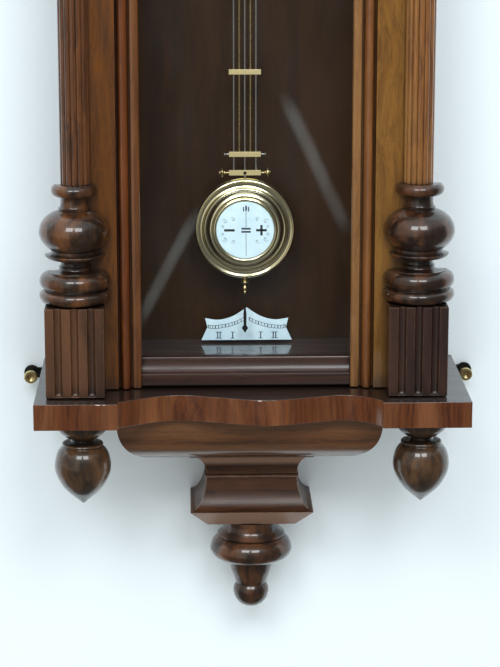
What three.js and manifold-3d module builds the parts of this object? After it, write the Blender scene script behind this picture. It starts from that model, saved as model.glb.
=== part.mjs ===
// A wall clock of the vienna regulator kind, in millimetres, +Z up.
// The wall is the plane y = 0 and the front faces -Y; z = 0 is the top face of the base board and
// x = 0 is the centre line of the case. A "depth" below is a distance from the wall, so y = -depth.
import * as THREE from 'three';
import { mergeVertices } from 'three/addons/utils/BufferGeometryUtils.js';
import Module from 'manifold-3d';

const wasm = await Module();
wasm.setup();

// Clearances
const GAP = 0.3;
const DOOR_GAP = 1.2;
const HEAD_GAP = 2.3;
const PIVOT_GAP = 0.25;
// Length of a cutter that passes right through a piece
const THROUGH = 200;

// Case box
const CASE_HALF = 150;
const CASE_DEPTH = 103;
const CASE_HEIGHT = 836;
const SIDE_THICK = 14;
const BACK_THICK = 12;
const FLOOR_TOP = 21;
const HANGER_BELOW_TOP = 46;
const HANGER_R = 7;

// Base board and the pieces under it
const BASE_WIDTH = 400;
const BASE_DEPTH = 177.8;
const BASE_THICK = 24.7;
const BASE_SHIFT = 5.3;
const BLOCK_INNER = 121.4;
const SAWN_SHIFT = -2.4;
// Sawn front of the board between its end blocks: x from the board's centre, setback from the front
const SAWN_FRONT = [
  [SAWN_SHIFT - BLOCK_INNER, 6.9], [-88, 26.8], [-63, 31], [-35, 23.6], [9, 10.4], [35.5, 14.6],
  [80.5, 27.9], [106.5, 19.5], [SAWN_SHIFT + BLOCK_INNER, 6],
];
const APRON_INSET = 74;
const APRON_DEPTH = 140;
const APRON_DROP = 50.9;
const APRON_ROUND = 58;
const ROUND_FULLNESS = 2.3;
const APRON_SHIFT = 3.3;
const CORBEL_SHIFT = 6.8;
const CORBEL_HALF = 59.4;
const CORBEL_DEPTH = 84;
const CORBEL_LIP = 3;
const CORBEL_COVE = 17;
const CORBEL_COVE_DROP = 21.5;
const CORBEL_FLARE = 34;
const CORBEL_CHAMFER = 17;
const CORBEL_AXIS_DEPTH = 43;
const DROP_INSET = 42.2;
const DROP_DEPTH = 142;

// Steady fittings on the rear corners of the base board
const STEADY_REACH = 13;
const STEADY_Z = -14.6;
const STEADY_PLATE_THICK = 3;
const LUG_R = 7.5;
const STRAP_HALF = 5;
const STEADY_SCREW_R = 2.2;
const STEADY_HEAD_R = 6.6;
const STEADY_HEAD_DEPTH = 22;
const STEADY_HEAD_THICK = 3.4;

// Door
const DOOR_LAP = 12;
const DOOR_FRONT = 127.6;
const STILE_WIDTH = 64.8;
const MOULDING_WIDTH = 21.1;
const PANE_THICK = 2.5;
const HEAD_RAIL = 25.7;
const RAIL_FRONT = 122;
const RAIL_TOP = 28;
const GLASS_REAR = 109.4;
const REBATE = 6.7;
const HINGE_OUT = 4.5;
const HINGE_DEPTH = 99.2;
const BARREL_R = 3;
const HINGE_LENGTH = 50;
const HINGE_LOWER = 150;
const HINGE_BELOW_TOP = 146;
const HINGE_LEAF_DEPTH = 37;
const LEAF_THICK = 1.5;
const HOOK_HEIGHT = 400;
const HOOK_DEPTH = 84;
const HOOK_LENGTH = 15.5;
const HOOK_HALF = 2.6;
const HOOK_JAW = 3.6;
const HOOK_THICK = 1.6;
const HOOK_SCREW_R = 3.2;
const STAPLE_OUT = 5.4;
const STAPLE_WIRE = 2;

// Columns on the door
const COLUMN_OUT = 7.6;
const TURNING_SHIFTS = [0.3, 1.8];
const SHAFT_SHIFTS = [2, 0];
const PEDESTAL_HALF = 27;
const PEDESTAL_FRONT = 159.4;
const PEDESTAL_TOP = 84.5;
const FLUTE_WIDTH = 7.2;
const FLUTE_DEPTH = 2.8;
const FLUTE_STOP = 2.4;
const FLUTE_PITCH_SHARE = 3.55;
const SHAFT_R = 13.9;
const CAPITAL_HEIGHT = 160;
const SHAFT_FLUTES = 14;
const SHAFT_FLUTE_DEPTH = 0.8;
const BLOCK_HALF = 25;
const BLOCK_HEIGHT = 62;
const CAPITAL_NECK_R = 24;

// Cornice and crest
const CORNICE_THICK = 24;
const TIER_WIDTH = 258;
const TIER_DEPTH = 112;
const TIER_HEIGHT = 34;
const TIER_ROUND = 36;
const CREST_HALF = 118;
const CREST_HEIGHT = 112;
const CREST_DEPTH = 70;
const CREST_THICK = 22;
const CREST_FOOT = 9;
const CORNICE_INSET = 4;
const CORNICE_SETBACK = 6;

// Movement, placed from the centre of the dial
const MOVEMENT_X = 1;
const DIAL_BELOW_SPRING = 37;
const PLATE_THICK = 2.5;
const BACK_PLATE_REAR = 50;
const PLATE_SPACE = 26.3;
const PLATE_HALF = 44;
const PLATE_BELOW = 70;
const PLATE_ABOVE = 58;
const PILLAR_R = 3.6;
const ARBOR_R = 0.8;
const CENTRE_ARBOR_R = 1.5;
const BARREL_ARBOR_R = 2.9;
const BARREL_AT = [0, -38];
const CENTRE_AT = [0, 0];
const ESCAPE_AT = [0, 21];
const ANCHOR_AT = [0, 45];
const GREAT_TEETH = 60;
const GREAT_R = 28;
const DRUM_R = 22;
const SECOND_PINION = 10;
const SECOND_TEETH = 56;
const SECOND_R = 18;
const CENTRE_PINION = 8;
const CENTRE_TEETH = 64;
const CENTRE_R = 19.2;
const THIRD_PINION = 8;
const THIRD_TEETH = 60;
const THIRD_R = 16.5;
const ESCAPE_PINION = 8;
const ESCAPE_TEETH = 40;
const ESCAPE_R = 17;
const CANNON_TEETH = 12;
const CANNON_R = 4.5;
const MINUTE_TEETH = 36;
const MINUTE_PINION = 10;
const MINUTE_PINION_R = 3.6;
const HOUR_TEETH = 40;
const MINUTE_WHEEL_ANGLE = 40;
const WHEEL_THICK = 1.5;
const RATCHET_R = 9;
const RATCHET_TEETH = 20;
const CRUTCH_LENGTH = 42;

// Dial and hands
const DIAL_R = 84;
const DIAL_REAR = 88.3;
const DIAL_THICK = 2;
const BEZEL_R = 90;
const HOUR_PIPE_HOLE = 4.2;
const HOUR_HAND = 46;
const MINUTE_HAND = 70;
const HAND_THICK = 0.9;
const SHOWN_HOUR = 10;
const SHOWN_MINUTE = 9;

// Pendulum, hung behind the movement
const PENDULUM_DEPTH = 44;
const BOB_Z = 137.2;
const BOB_R = 48.7;
const BOB_BACK = 12.4;
const ENAMEL_R = 27.3;
const ROD_R = 0.9;
const ROD_PITCH = 5.25;
const BAR_HALF = 15.2;
const BAR_HEIGHT = 4.8;
const BAR_THICK = 4;
const BARS_ABOVE_BOB = [53.3, 71, 149.1];
const BARS_BELOW_PIVOT = [243, 78, 59.5];
const BAR_PIN_REACH = 20;
const BAR_PIN_R = 1.1;
const KNOB_X = 21.6;
const KNOB_R = 4.1;
const NUT_BELOW_BOB = 5.2;
const POINTER_LENGTH = 40.7;
const POINTER_OVER_SCALE = 10.6;
const SPRING_THICK = 0.6;

// Beat scale on the backboard
const SCALE_X = 3;
const SCALE_REAR = 28.4;
const SCALE_THICK = 1.6;
const SCALE_BOTTOM = 23.7;

// Places that follow from the sizes above
const PLATE_FRONT_REAR = BACK_PLATE_REAR + PLATE_THICK + PLATE_SPACE;
const PLATE_FRONT_FACE = PLATE_FRONT_REAR + PLATE_THICK;
const BETWEEN = BACK_PLATE_REAR + PLATE_THICK;
const HANGER_Z = CASE_HEIGHT - HANGER_BELOW_TOP;
const DROP_SPREAD = BASE_WIDTH / 2 - DROP_INSET;
const APRON_WIDTH = BASE_WIDTH - 2 * APRON_INSET;
const DOOR_HALF = CASE_HALF + DOOR_LAP;
const GLASS_HALF = DOOR_HALF - STILE_WIDTH;
const MOULDING_OUT = GLASS_HALF + MOULDING_WIDTH;
const HINGE_X = CASE_HALF + HINGE_OUT;
const HINGE_UPPER = CASE_HEIGHT - HINGE_BELOW_TOP;
const COLUMN_SPREAD = CASE_HALF + COLUMN_OUT;
const APRON_TOP = -BASE_THICK - GAP;
const APRON_BOTTOM = APRON_TOP - APRON_DROP;
const CORNICE_BOTTOM = CASE_HEIGHT + GAP;
const CORNICE_TOP = CORNICE_BOTTOM + CORNICE_THICK;
const DOOR_TOP = CORNICE_BOTTOM - HEAD_GAP;
const ARCH_SPRING = DOOR_TOP - HEAD_RAIL - MOULDING_OUT;
const SHAFT_TOP = DOOR_TOP - CAPITAL_HEIGHT;
const DIAL_Z = ARCH_SPRING - DIAL_BELOW_SPRING;
const PIVOT_Z = DIAL_Z + ANCHOR_AT[1];
const LOWER_BAR = BOB_Z + BARS_ABOVE_BOB[0];
const UPPER_BAR = PIVOT_Z - BARS_BELOW_PIVOT[2];
const BRASS_BARS = [
  ...BARS_ABOVE_BOB.slice(1).map((rise) => BOB_Z + rise),
  ...BARS_BELOW_PIVOT.slice(0, 2).map((fall) => PIVOT_Z - fall),
];
const NUT_Z = BOB_Z - BOB_R - NUT_BELOW_BOB;
const POINTER_TIP = SCALE_BOTTOM + POINTER_OVER_SCALE;
const POINTER_TOP = POINTER_TIP + POINTER_LENGTH;

const root = new THREE.Group();

// Finishes
const finishes = {
  walnut: { color: 0x4a2a17, roughness: 0.35, metalness: 0 },
  walnutLight: { color: 0x7a4a22, roughness: 0.35, metalness: 0 },
  veneer: { color: 0x7c4020, roughness: 0.3, metalness: 0 },
  darkWood: { color: 0x2c1c13, roughness: 0.4, metalness: 0 },
  brass: { color: 0xb9a15a, roughness: 0.25, metalness: 1 },
  steel: { color: 0x9a9da0, roughness: 0.3, metalness: 1 },
  iron: { color: 0x1a1c1e, roughness: 0.55, metalness: 0.6 },
  blued: { color: 0x1c2742, roughness: 0.3, metalness: 1 },
  enamel: { color: 0xe9eef0, roughness: 0.2, metalness: 0 },
  glass: { color: 0xdfe8ea, roughness: 0.05, metalness: 0 },
};

// A closed mesh with shared corners, faces pointing out and no slivers
function closed(geometry) {
  let g = geometry.index ? geometry.toNonIndexed() : geometry.clone();
  g.deleteAttribute('normal');
  g.deleteAttribute('uv');
  g.clearGroups();
  g = mergeVertices(g, 1e-3);
  const p = g.attributes.position;
  const kept = [];
  let volume = 0;
  for (let i = 0; i < g.index.count; i += 3) {
    const [a, b, c] = [g.index.getX(i), g.index.getX(i + 1), g.index.getX(i + 2)];
    if (a === b || b === c || c === a) {
      continue;
    }
    kept.push(a, b, c);
    const va = new THREE.Vector3().fromBufferAttribute(p, a);
    const vb = new THREE.Vector3().fromBufferAttribute(p, b);
    const vc = new THREE.Vector3().fromBufferAttribute(p, c);
    volume += va.dot(vb.cross(vc));
  }
  if (volume < 0) {
    kept.reverse();
  }
  g.setIndex(kept);
  return g;
}

function solid(geometry) {
  const g = closed(geometry);
  return new wasm.Manifold(new wasm.Mesh({
    numProp: 3,
    vertProperties: new Float32Array(g.attributes.position.array),
    triVerts: new Uint32Array(g.index.array),
  }));
}

function toGeometry(manifold) {
  const mesh = manifold.getMesh();
  const g = new THREE.BufferGeometry();
  g.setAttribute('position', new THREE.BufferAttribute(new Float32Array(mesh.vertProperties), 3));
  g.setIndex(new THREE.BufferAttribute(new Uint32Array(mesh.triVerts), 1));
  return g;
}

function join(...parts) {
  return parts.map((part) => (part.isBufferGeometry ? solid(part) : part)).reduce((a, b) => a.add(b));
}

function cut(body, ...tools) {
  const start = body.isBufferGeometry ? solid(body) : body;
  return tools.reduce((a, tool) => a.subtract(tool.isBufferGeometry ? solid(tool) : tool), start);
}

// Box between two x, two depths and two heights
function block(x0, x1, depth0, depth1, z0, z1) {
  const g = new THREE.BoxGeometry(Math.abs(x1 - x0), Math.abs(depth1 - depth0), Math.abs(z1 - z0));
  return g.translate((x0 + x1) / 2, -(depth0 + depth1) / 2, (z0 + z1) / 2);
}

function outline(points, holes = []) {
  const shape = new THREE.Shape(points.map(([x, y]) => new THREE.Vector2(x, y)));
  for (const hole of holes) {
    shape.holes.push(new THREE.Path(hole.map(([x, y]) => new THREE.Vector2(x, y))));
  }
  return shape;
}

// Flat plate drawn in x and z, from its rear depth forward
function plate(shape, rear, thickness, curveSegments = 8) {
  const g = new THREE.ExtrudeGeometry(shape, { depth: thickness, bevelEnabled: false, curveSegments });
  return g.rotateX(Math.PI / 2).translate(0, -rear, 0);
}

// Board drawn in x and depth, from a bottom height upward
function board(shape, bottom, thickness) {
  const g = new THREE.ExtrudeGeometry(shape, { depth: thickness, bevelEnabled: false, curveSegments: 8 });
  return g.scale(1, -1, 1).translate(0, 0, bottom);
}

// Length of one section drawn in depth and z, run along x
function run(points, x0, x1) {
  const shape = outline(points);
  const g = new THREE.ExtrudeGeometry(shape, { depth: x1 - x0, bevelEnabled: false });
  g.applyMatrix4(new THREE.Matrix4().set(0, 0, 1, x0, -1, 0, 0, 0, 0, 1, 0, 0, 0, 0, 0, 1));
  return g;
}

// Turned work: [radius, height] about the z axis
function turned(profile, segments = 18) {
  const points = profile.map(([r, h]) => new THREE.Vector2(r, h));
  return new THREE.LatheGeometry(points, segments).rotateX(Math.PI / 2);
}

// Turned work about the y axis: [radius, depth]
function faced(profile, segments = 20) {
  const points = profile.map(([r, depth]) => new THREE.Vector2(r, depth));
  return new THREE.LatheGeometry(points, segments).rotateX(Math.PI);
}

// Round bar along z or along the depth
function upright(r, z0, z1, x = 0, depth = 0, segments = 10) {
  return turned([[0, z0], [r, z0], [r, z1], [0, z1]], segments).translate(x, -depth, 0);
}

function spindle(r, depth0, depth1, x = 0, z = 0, segments = 10) {
  return faced([[0, depth0], [r, depth0], [r, depth1], [0, depth1]], segments).translate(x, 0, z);
}

// Points of an arc, angles in degrees
function arc(cx, cy, rx, ry, from, to, count) {
  const points = [];
  for (let i = 0; i <= count; i += 1) {
    const a = THREE.MathUtils.degToRad(from + ((to - from) * i) / count);
    points.push([cx + rx * Math.cos(a), cy + ry * Math.sin(a)]);
  }
  return points;
}

function smooth(points, count) {
  const spline = new THREE.SplineCurve(points.map(([x, y]) => new THREE.Vector2(x, y)));
  return spline.getPoints(count).map((p) => [p.x, p.y]);
}

function piece(name, shape, finish, x = 0, y = 0, z = 0, parent = root) {
  const geometry = closed(shape.isBufferGeometry ? shape : toGeometry(shape));
  const mesh = new THREE.Mesh(geometry, new THREE.MeshStandardMaterial(finishes[finish]));
  mesh.name = name;
  mesh.position.set(x, y, z);
  parent.add(mesh);
  return mesh;
}

// Plan of the base board and of the cornice board: end blocks with a sawn front between them
function boardPlan(width, depth, rearNotch) {
  const half = width / 2;
  const front = smooth(SAWN_FRONT.map(([x, setback]) => [x, depth - setback]), 28);
  const { from, to, deep } = rearNotch ?? {};
  const notch = rearNotch ? [[to, 0], [to, deep], [from, deep], [from, 0]] : [];
  return outline([
    [-half, 0], [-half, depth], [SAWN_SHIFT - BLOCK_INNER, depth], ...front,
    [SAWN_SHIFT + BLOCK_INNER, depth], [half, depth], [half, 0], ...notch,
  ]);
}

function makeBaseBoard() {
  const inner = CASE_HALF - SIDE_THICK;
  const notch = { from: -inner - BASE_SHIFT, to: inner - BASE_SHIFT, deep: BACK_THICK + GAP };
  const body = board(boardPlan(BASE_WIDTH, BASE_DEPTH, notch), -BASE_THICK, BASE_THICK);
  piece('base_board', cut(body, strapRoom(BASE_WIDTH / 2 + 1)), 'veneer', BASE_SHIFT);
}

// Rebate that the iron strap lies in
function strapRoom(half) {
  const high = STRAP_HALF + GAP;
  return block(-half, half, -1, STEADY_PLATE_THICK + 2 * GAP, STEADY_Z - high, STEADY_Z + high);
}

// Quarter-round tier with mitred corners: its round runs under the front and both ends
function roundedTier(width, depth, height, round, steps = 7) {
  const rings = [];
  for (let i = 0; i <= steps; i += 1) {
    const a = ((Math.PI / 2) * i) / steps;
    const inset = round * (1 - Math.max(0, Math.cos(a)) ** (2 / ROUND_FULLNESS));
    rings.push({
      half: width / 2 - inset, depth: depth - inset, z: -height * Math.sin(a) ** (2 / ROUND_FULLNESS),
    });
  }
  const positions = [];
  const index = [];
  for (const { half, depth: d, z } of rings) {
    positions.push(-half, 0, z, half, 0, z, half, -d, z, -half, -d, z);
  }
  for (let i = 0; i < steps; i += 1) {
    for (let j = 0; j < 4; j += 1) {
      const a = 4 * i + j;
      const b = 4 * i + ((j + 1) % 4);
      index.push(a, b, a + 4, b, b + 4, a + 4);
    }
  }
  const last = 4 * steps;
  index.push(0, 2, 1, 0, 3, 2, last, last + 1, last + 2, last, last + 2, last + 3);
  const g = new THREE.BufferGeometry();
  g.setAttribute('position', new THREE.BufferAttribute(new Float32Array(positions), 3));
  g.setIndex(index);
  return g;
}

function makeApron() {
  const tier = roundedTier(APRON_WIDTH, APRON_DEPTH, APRON_DROP, APRON_ROUND);
  piece('base_apron', tier, 'walnut', APRON_SHIFT, 0, APRON_TOP);
}

// Stack of rectangular sections, each [inset from the widest, height], joined by straight sides
function moulded(half, depth, sections) {
  const positions = [];
  const index = [];
  for (const [inset, z] of sections) {
    const h = half - inset;
    const d = depth - inset;
    positions.push(-h, 0, z, h, 0, z, h, -d, z, -h, -d, z);
  }
  for (let i = 0; i < sections.length - 1; i += 1) {
    for (let j = 0; j < 4; j += 1) {
      const a = 4 * i + j;
      const b = 4 * i + ((j + 1) % 4);
      index.push(a, b, a + 4, b, b + 4, a + 4);
    }
  }
  const last = 4 * (sections.length - 1);
  index.push(0, 2, 1, 0, 3, 2, last, last + 1, last + 2, last, last + 2, last + 3);
  const g = new THREE.BufferGeometry();
  g.setAttribute('position', new THREE.BufferAttribute(new Float32Array(positions), 3));
  g.setIndex(index);
  return g;
}

const CORBEL_TOP = APRON_BOTTOM - GAP;
const CORBEL_NECK = CORBEL_TOP - CORBEL_LIP - CORBEL_COVE_DROP;
const CORBEL_EDGE = CORBEL_NECK - CORBEL_FLARE;
const CORBEL_BOTTOM = CORBEL_EDGE - CORBEL_CHAMFER;

function makeCorbel() {
  const cove = arc(0, CORBEL_TOP - CORBEL_LIP - CORBEL_COVE_DROP, CORBEL_COVE, CORBEL_COVE_DROP, 90, 0, 5);
  const flare = arc(0, CORBEL_NECK, CORBEL_COVE, CORBEL_FLARE, 0, -90, 6);
  const bead = [[CORBEL_COVE - 1.6, CORBEL_NECK + 0.4], [CORBEL_COVE - 1.6, CORBEL_NECK - 1.8]];
  const sections = [
    [0, CORBEL_TOP], [0, CORBEL_TOP - CORBEL_LIP], ...cove.slice(1, -1), ...bead,
    ...flare.slice(1), [CORBEL_CHAMFER, CORBEL_BOTTOM],
  ];
  piece('corbel', moulded(CORBEL_HALF, CORBEL_DEPTH, sections), 'walnut', CORBEL_SHIFT);
}

function makeBottomFinial() {
  const top = CORBEL_BOTTOM - GAP;
  const profile = [
    [0, 0], [27, 0], [27.2, -5], [29, -9.5], [32.6, -14], [33, -15.6], [31.6, -16.8], [33.8, -18.2],
    [38, -23.2], [40, -30], [39, -36.4], [34, -41.4], [26, -44.6], [19.2, -46], [18.9, -48],
    [18, -54], [15.4, -62], [13.6, -66], [13.6, -67], [16, -70], [17, -75.4], [15.6, -82.4],
    [10.4, -89], [0, -91.4],
  ];
  piece('bottom_finial', turned(profile, 20), 'walnut', CORBEL_SHIFT, -CORBEL_AXIS_DEPTH, top);
}

// Acorn: radius and distance from the board that carries it
const ACORN = [
  [24.5, 0], [24.5, 3.4], [22, 9.4], [17, 13.6], [11.2, 16.8], [10.3, 18.6], [14.6, 20.2], [17.9, 22.8],
  [17.7, 24.2], [21, 27], [24.6, 33.6], [26.3, 41], [26.1, 46], [24.4, 52.4], [21.6, 58],
  [17, 64.6], [11.3, 70.2], [6, 74.8], [0, 79.8],
];

function makeDrops() {
  const profile = [[0, 0], ...ACORN.map(([r, d]) => [r, -d])];
  for (const side of [-1, 1]) {
    const x = BASE_SHIFT + side * DROP_SPREAD;
    const name = side < 0 ? 'corner_drop_left' : 'corner_drop_right';
    piece(name, turned(profile), 'darkWood', x, -DROP_DEPTH, -BASE_THICK - GAP);
  }
}

// Iron strap let in along the back of the base board, its ends standing out as bored lugs
function makeSteadyStrap() {
  const lugX = BASE_WIDTH / 2 + STEADY_REACH;
  const front = GAP + STEADY_PLATE_THICK;
  const strap = block(-lugX, lugX, GAP, front, STEADY_Z - STRAP_HALF, STEADY_Z + STRAP_HALF);
  const eyes = [-lugX, lugX].map((x) => spindle(LUG_R, GAP, front, x, STEADY_Z, 20));
  const bores = [-lugX, lugX].map((x) => spindle(STEADY_SCREW_R + GAP, -1, 10, x, STEADY_Z, 16));
  piece('steady_strap', cut(join(strap, ...eyes), ...bores), 'iron', BASE_SHIFT);
}

function makeSteadyScrew(name, side) {
  const x = BASE_SHIFT + side * (BASE_WIDTH / 2 + STEADY_REACH);
  const rear = STEADY_HEAD_DEPTH - STEADY_HEAD_THICK;
  const profile = [
    [0, GAP], [STEADY_SCREW_R - 1, GAP], [STEADY_SCREW_R, GAP + 1.4], [STEADY_SCREW_R, rear - 5],
    [3.6, rear - 4.6], [3.6, rear], [STEADY_HEAD_R - 0.4, rear], [STEADY_HEAD_R, rear + 0.7],
    [STEADY_HEAD_R, STEADY_HEAD_DEPTH - 0.7], [STEADY_HEAD_R - 0.7, STEADY_HEAD_DEPTH],
    [2.9, STEADY_HEAD_DEPTH - 0.3], [1.9, STEADY_HEAD_DEPTH - 1.4], [0, STEADY_HEAD_DEPTH - 1.6],
  ];
  piece(name, faced(profile, 16), 'brass', x, 0, STEADY_Z);
}

// Backboard with the keyhole that it hangs by, near its top
function makeBackboard() {
  const half = CASE_HALF - SIDE_THICK - GAP;
  const slab = block(-half, half, 0, BACK_THICK, -BASE_THICK, CASE_HEIGHT);
  const hole = spindle(HANGER_R, -1, BACK_THICK + 1, 0, HANGER_Z - 2 * HANGER_R, 20);
  const slot = block(-HANGER_R / 2, HANGER_R / 2, -1, BACK_THICK + 1, HANGER_Z - 2 * HANGER_R, HANGER_Z);
  const end = spindle(HANGER_R / 2, -1, BACK_THICK + 1, 0, HANGER_Z, 16);
  const strap = strapRoom(BASE_WIDTH).translate(BASE_SHIFT, 0, 0);
  piece('backboard', cut(slab, hole, slot, end, strap), 'darkWood');
}

function makeSides() {
  for (const side of [-1, 1]) {
    const slab = block(side * (CASE_HALF - SIDE_THICK), side * CASE_HALF, 0, CASE_DEPTH, GAP, CASE_HEIGHT);
    piece(side < 0 ? 'side_panel_left' : 'side_panel_right', slab, 'walnut');
  }
}

function makeFloor() {
  const half = CASE_HALF - SIDE_THICK - GAP;
  piece('floor_board', block(-half, half, BACK_THICK + GAP, CASE_DEPTH, GAP, FLOOR_TOP), 'darkWood');
}

// Arched figure: an upright pair of legs closed by a half circle
function archPoints(half, bottom, spring, steps) {
  return [[half, bottom], ...arc(0, spring, half, half, 0, 180, steps), [-half, bottom]];
}

function makeDoorFrame() {
  const arch = archPoints(MOULDING_OUT + GAP, DOOR_GAP, ARCH_SPRING, 28);
  const shape = outline([
    [DOOR_HALF, DOOR_GAP], [DOOR_HALF, DOOR_TOP], [-DOOR_HALF, DOOR_TOP], [-DOOR_HALF, DOOR_GAP],
    ...arch.reverse(),
  ]);
  const frame = plate(shape, CASE_DEPTH + GAP, DOOR_FRONT - CASE_DEPTH - GAP);
  const rear = HOOK_DEPTH + HOOK_LENGTH - HOOK_JAW / 2 - STAPLE_WIRE / 2;
  const low = HOOK_HEIGHT - GAP / 2;
  const inner = -CASE_HALF - STAPLE_OUT;
  const outer = inner - STAPLE_WIRE;
  const arm = block(outer, inner, rear, CASE_DEPTH + 1, low, low + STAPLE_WIRE);
  const bar = block(outer, -CASE_HALF - 2 * GAP, rear, rear + STAPLE_WIRE, low, low + STAPLE_WIRE);
  piece('door_frame', join(frame, arm, bar), 'walnutLight');
}

// Moulding round the glass: a lip, a quirk and a bead; [out from the glass edge, depth]
const MOULDING = [
  [0, GLASS_REAR + PANE_THICK + GAP], [0, 121.8], [1.4, 123.6], [7, 124], [8.4, 122], [8.6, 118.6],
  [9.7, 118.6], [10.4, 123.4], [12.4, 126.8], [15.4, 127.9], [18.2, 126], [19.8, 121.4],
  [MOULDING_WIDTH, 120.6], [MOULDING_WIDTH, CASE_DEPTH + GAP], [REBATE + GAP, CASE_DEPTH + GAP],
  [REBATE + GAP, GLASS_REAR + PANE_THICK + GAP],
];

// A section carried up one leg, round a half circle and down the other leg
function archedRun(section, half, bottom, spring, steps) {
  const frames = [[0, bottom]];
  for (let i = 0; i <= steps; i += 1) {
    frames.push([(Math.PI * i) / steps, spring]);
  }
  frames.push([Math.PI, bottom]);
  const positions = [];
  for (const [angle, z] of frames) {
    for (const [u, depth] of section) {
      const [dx, dz] = polar(half + u, angle);
      positions.push(dx, -depth, z + dz);
    }
  }
  const n = section.length;
  const index = [];
  for (let i = 0; i < frames.length - 1; i += 1) {
    for (let k = 0; k < n; k += 1) {
      const a = i * n + k;
      const b = i * n + ((k + 1) % n);
      index.push(a, b, a + n, b, b + n, a + n);
    }
  }
  const cap = THREE.ShapeUtils.triangulateShape(section.map(([u, d]) => new THREE.Vector2(u, d)), []);
  const last = (frames.length - 1) * n;
  for (const [a, b, c] of cap) {
    index.push(a, b, c, last + a, last + c, last + b);
  }
  const g = new THREE.BufferGeometry();
  g.setAttribute('position', new THREE.BufferAttribute(new Float32Array(positions), 3));
  g.setIndex(index);
  return g;
}

function makeDoorMoulding() {
  piece('door_moulding', archedRun(MOULDING, GLASS_HALF, DOOR_GAP, ARCH_SPRING, 20), 'walnut');
}

function makeBottomRail() {
  const rear = CASE_DEPTH + GAP;
  const low = DOOR_GAP;
  const groove = GLASS_REAR + PANE_THICK + GAP;
  const cove = arc(RAIL_FRONT - 1.5, RAIL_TOP - 1, 7.2, 13, 270, 180, 5);
  const section = [
    [rear, low], [RAIL_FRONT - 2.5, low], [RAIL_FRONT - 0.4, low + 1.8], [RAIL_FRONT, low + 3.8],
    [RAIL_FRONT, RAIL_TOP - 15.8], [RAIL_FRONT - 1.2, RAIL_TOP - 15.2], [RAIL_FRONT - 1.5, RAIL_TOP - 14],
    ...cove.slice(1), [RAIL_FRONT - 9.2, RAIL_TOP], [groove, RAIL_TOP],
    [groove, RAIL_TOP - 6], [GLASS_REAR - GAP, RAIL_TOP - 6], [GLASS_REAR - GAP, RAIL_TOP],
    [rear, RAIL_TOP],
  ];
  const half = GLASS_HALF - GAP;
  piece('door_bottom_rail', run(section, -half, half), 'walnut');
}

function makeDoorGlass() {
  const half = GLASS_HALF + REBATE - GAP;
  const sill = RAIL_TOP + 2 * GAP;
  const tongue = GLASS_HALF - GAP;
  const shape = outline([
    ...archPoints(half, sill, ARCH_SPRING, 32), [-tongue, sill], [-tongue, RAIL_TOP - 6 + GAP],
    [tongue, RAIL_TOP - 6 + GAP], [tongue, sill],
  ]);
  piece('door_glass', plate(shape, GLASS_REAR, PANE_THICK), 'glass');
}

// Butt hinge: the barrel is shared out in three knuckles, two of them on the case leaf
function makeHinge(where, height) {
  const third = HINGE_LENGTH / 3;
  const bottom = height - HINGE_LENGTH / 2;
  const top = bottom + HINGE_LENGTH;
  const leafIn = CASE_HALF + GAP;
  const leafRear = HINGE_DEPTH - HINGE_LEAF_DEPTH;
  const caseLeaf = block(leafIn, leafIn + LEAF_THICK, leafRear, HINGE_DEPTH - 1, bottom, top);
  const room = barrelPart(BARREL_R + GAP, bottom + third - GAP, bottom + 2 * third + GAP);
  const knuckles = [
    barrelPart(BARREL_R, bottom, bottom + third - GAP),
    barrelPart(BARREL_R, bottom + 2 * third + GAP, top),
  ];
  const pin = barrelPart(BARREL_R / 2 - PIVOT_GAP, bottom + 1, top - 1);
  piece(`hinge_${where}_case_leaf`, join(cut(caseLeaf, room), ...knuckles, pin), 'brass');
  const leafFront = CASE_DEPTH;
  const low = bottom + third;
  const doorLeaf = block(HINGE_X, DOOR_HALF - GAP, leafFront - LEAF_THICK, leafFront, low, low + third);
  const barrel = barrelPart(BARREL_R, bottom + third, bottom + 2 * third);
  const bore = barrelPart(BARREL_R / 2, bottom, top);
  piece(`hinge_${where}_door_leaf`, cut(join(doorLeaf, barrel), bore), 'brass');
}

function barrelPart(r, z0, z1) {
  return upright(r, z0, z1, HINGE_X, HINGE_DEPTH, 12);
}

// Side hook: it hangs below its screw, and swung forward and up its jaw takes the staple on the door
function makeLatch() {
  const x = -CASE_HALF - GAP;
  const screw = new THREE.CylinderGeometry(HOOK_SCREW_R, HOOK_SCREW_R, 1.4, 16).rotateZ(Math.PI / 2);
  screw.translate(x - HOOK_THICK - 0.5, 0, 0);
  const jaw = HOOK_LENGTH - HOOK_JAW;
  const end = HOOK_LENGTH + HOOK_HALF;
  const throat = HOOK_HALF / 6;
  const shape = outline([
    [-HOOK_HALF, HOOK_HALF], [-HOOK_HALF, -jaw], [throat, -jaw], [throat, -HOOK_LENGTH],
    [-1.7 * HOOK_HALF, -HOOK_LENGTH], [-1.5 * HOOK_HALF, -end], [HOOK_HALF, -end], [HOOK_HALF, HOOK_HALF],
  ]);
  const hook = new THREE.ExtrudeGeometry(shape, { depth: HOOK_THICK, bevelEnabled: false });
  hook.applyMatrix4(new THREE.Matrix4().set(0, 0, -1, x, 1, 0, 0, 0, 0, 1, 0, 0, 0, 0, 0, 1));
  piece('latch_hook', join(hook, screw), 'brass', 0, -HOOK_DEPTH, HOOK_HEIGHT);
}

// Half-round turned work glued to the door: the back is planed flat
function halfTurned(profile, segments = 20) {
  const tall = profile.map(([, h]) => h);
  const low = Math.min(...tall) - 1;
  const high = Math.max(...tall) + 1;
  const far = 2 * Math.max(...profile.map(([r]) => r));
  return cut(turned(profile, segments), block(-far, far, 0, -far, low, high));
}

const COLUMN_DEPTH = DOOR_FRONT + GAP;

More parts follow.
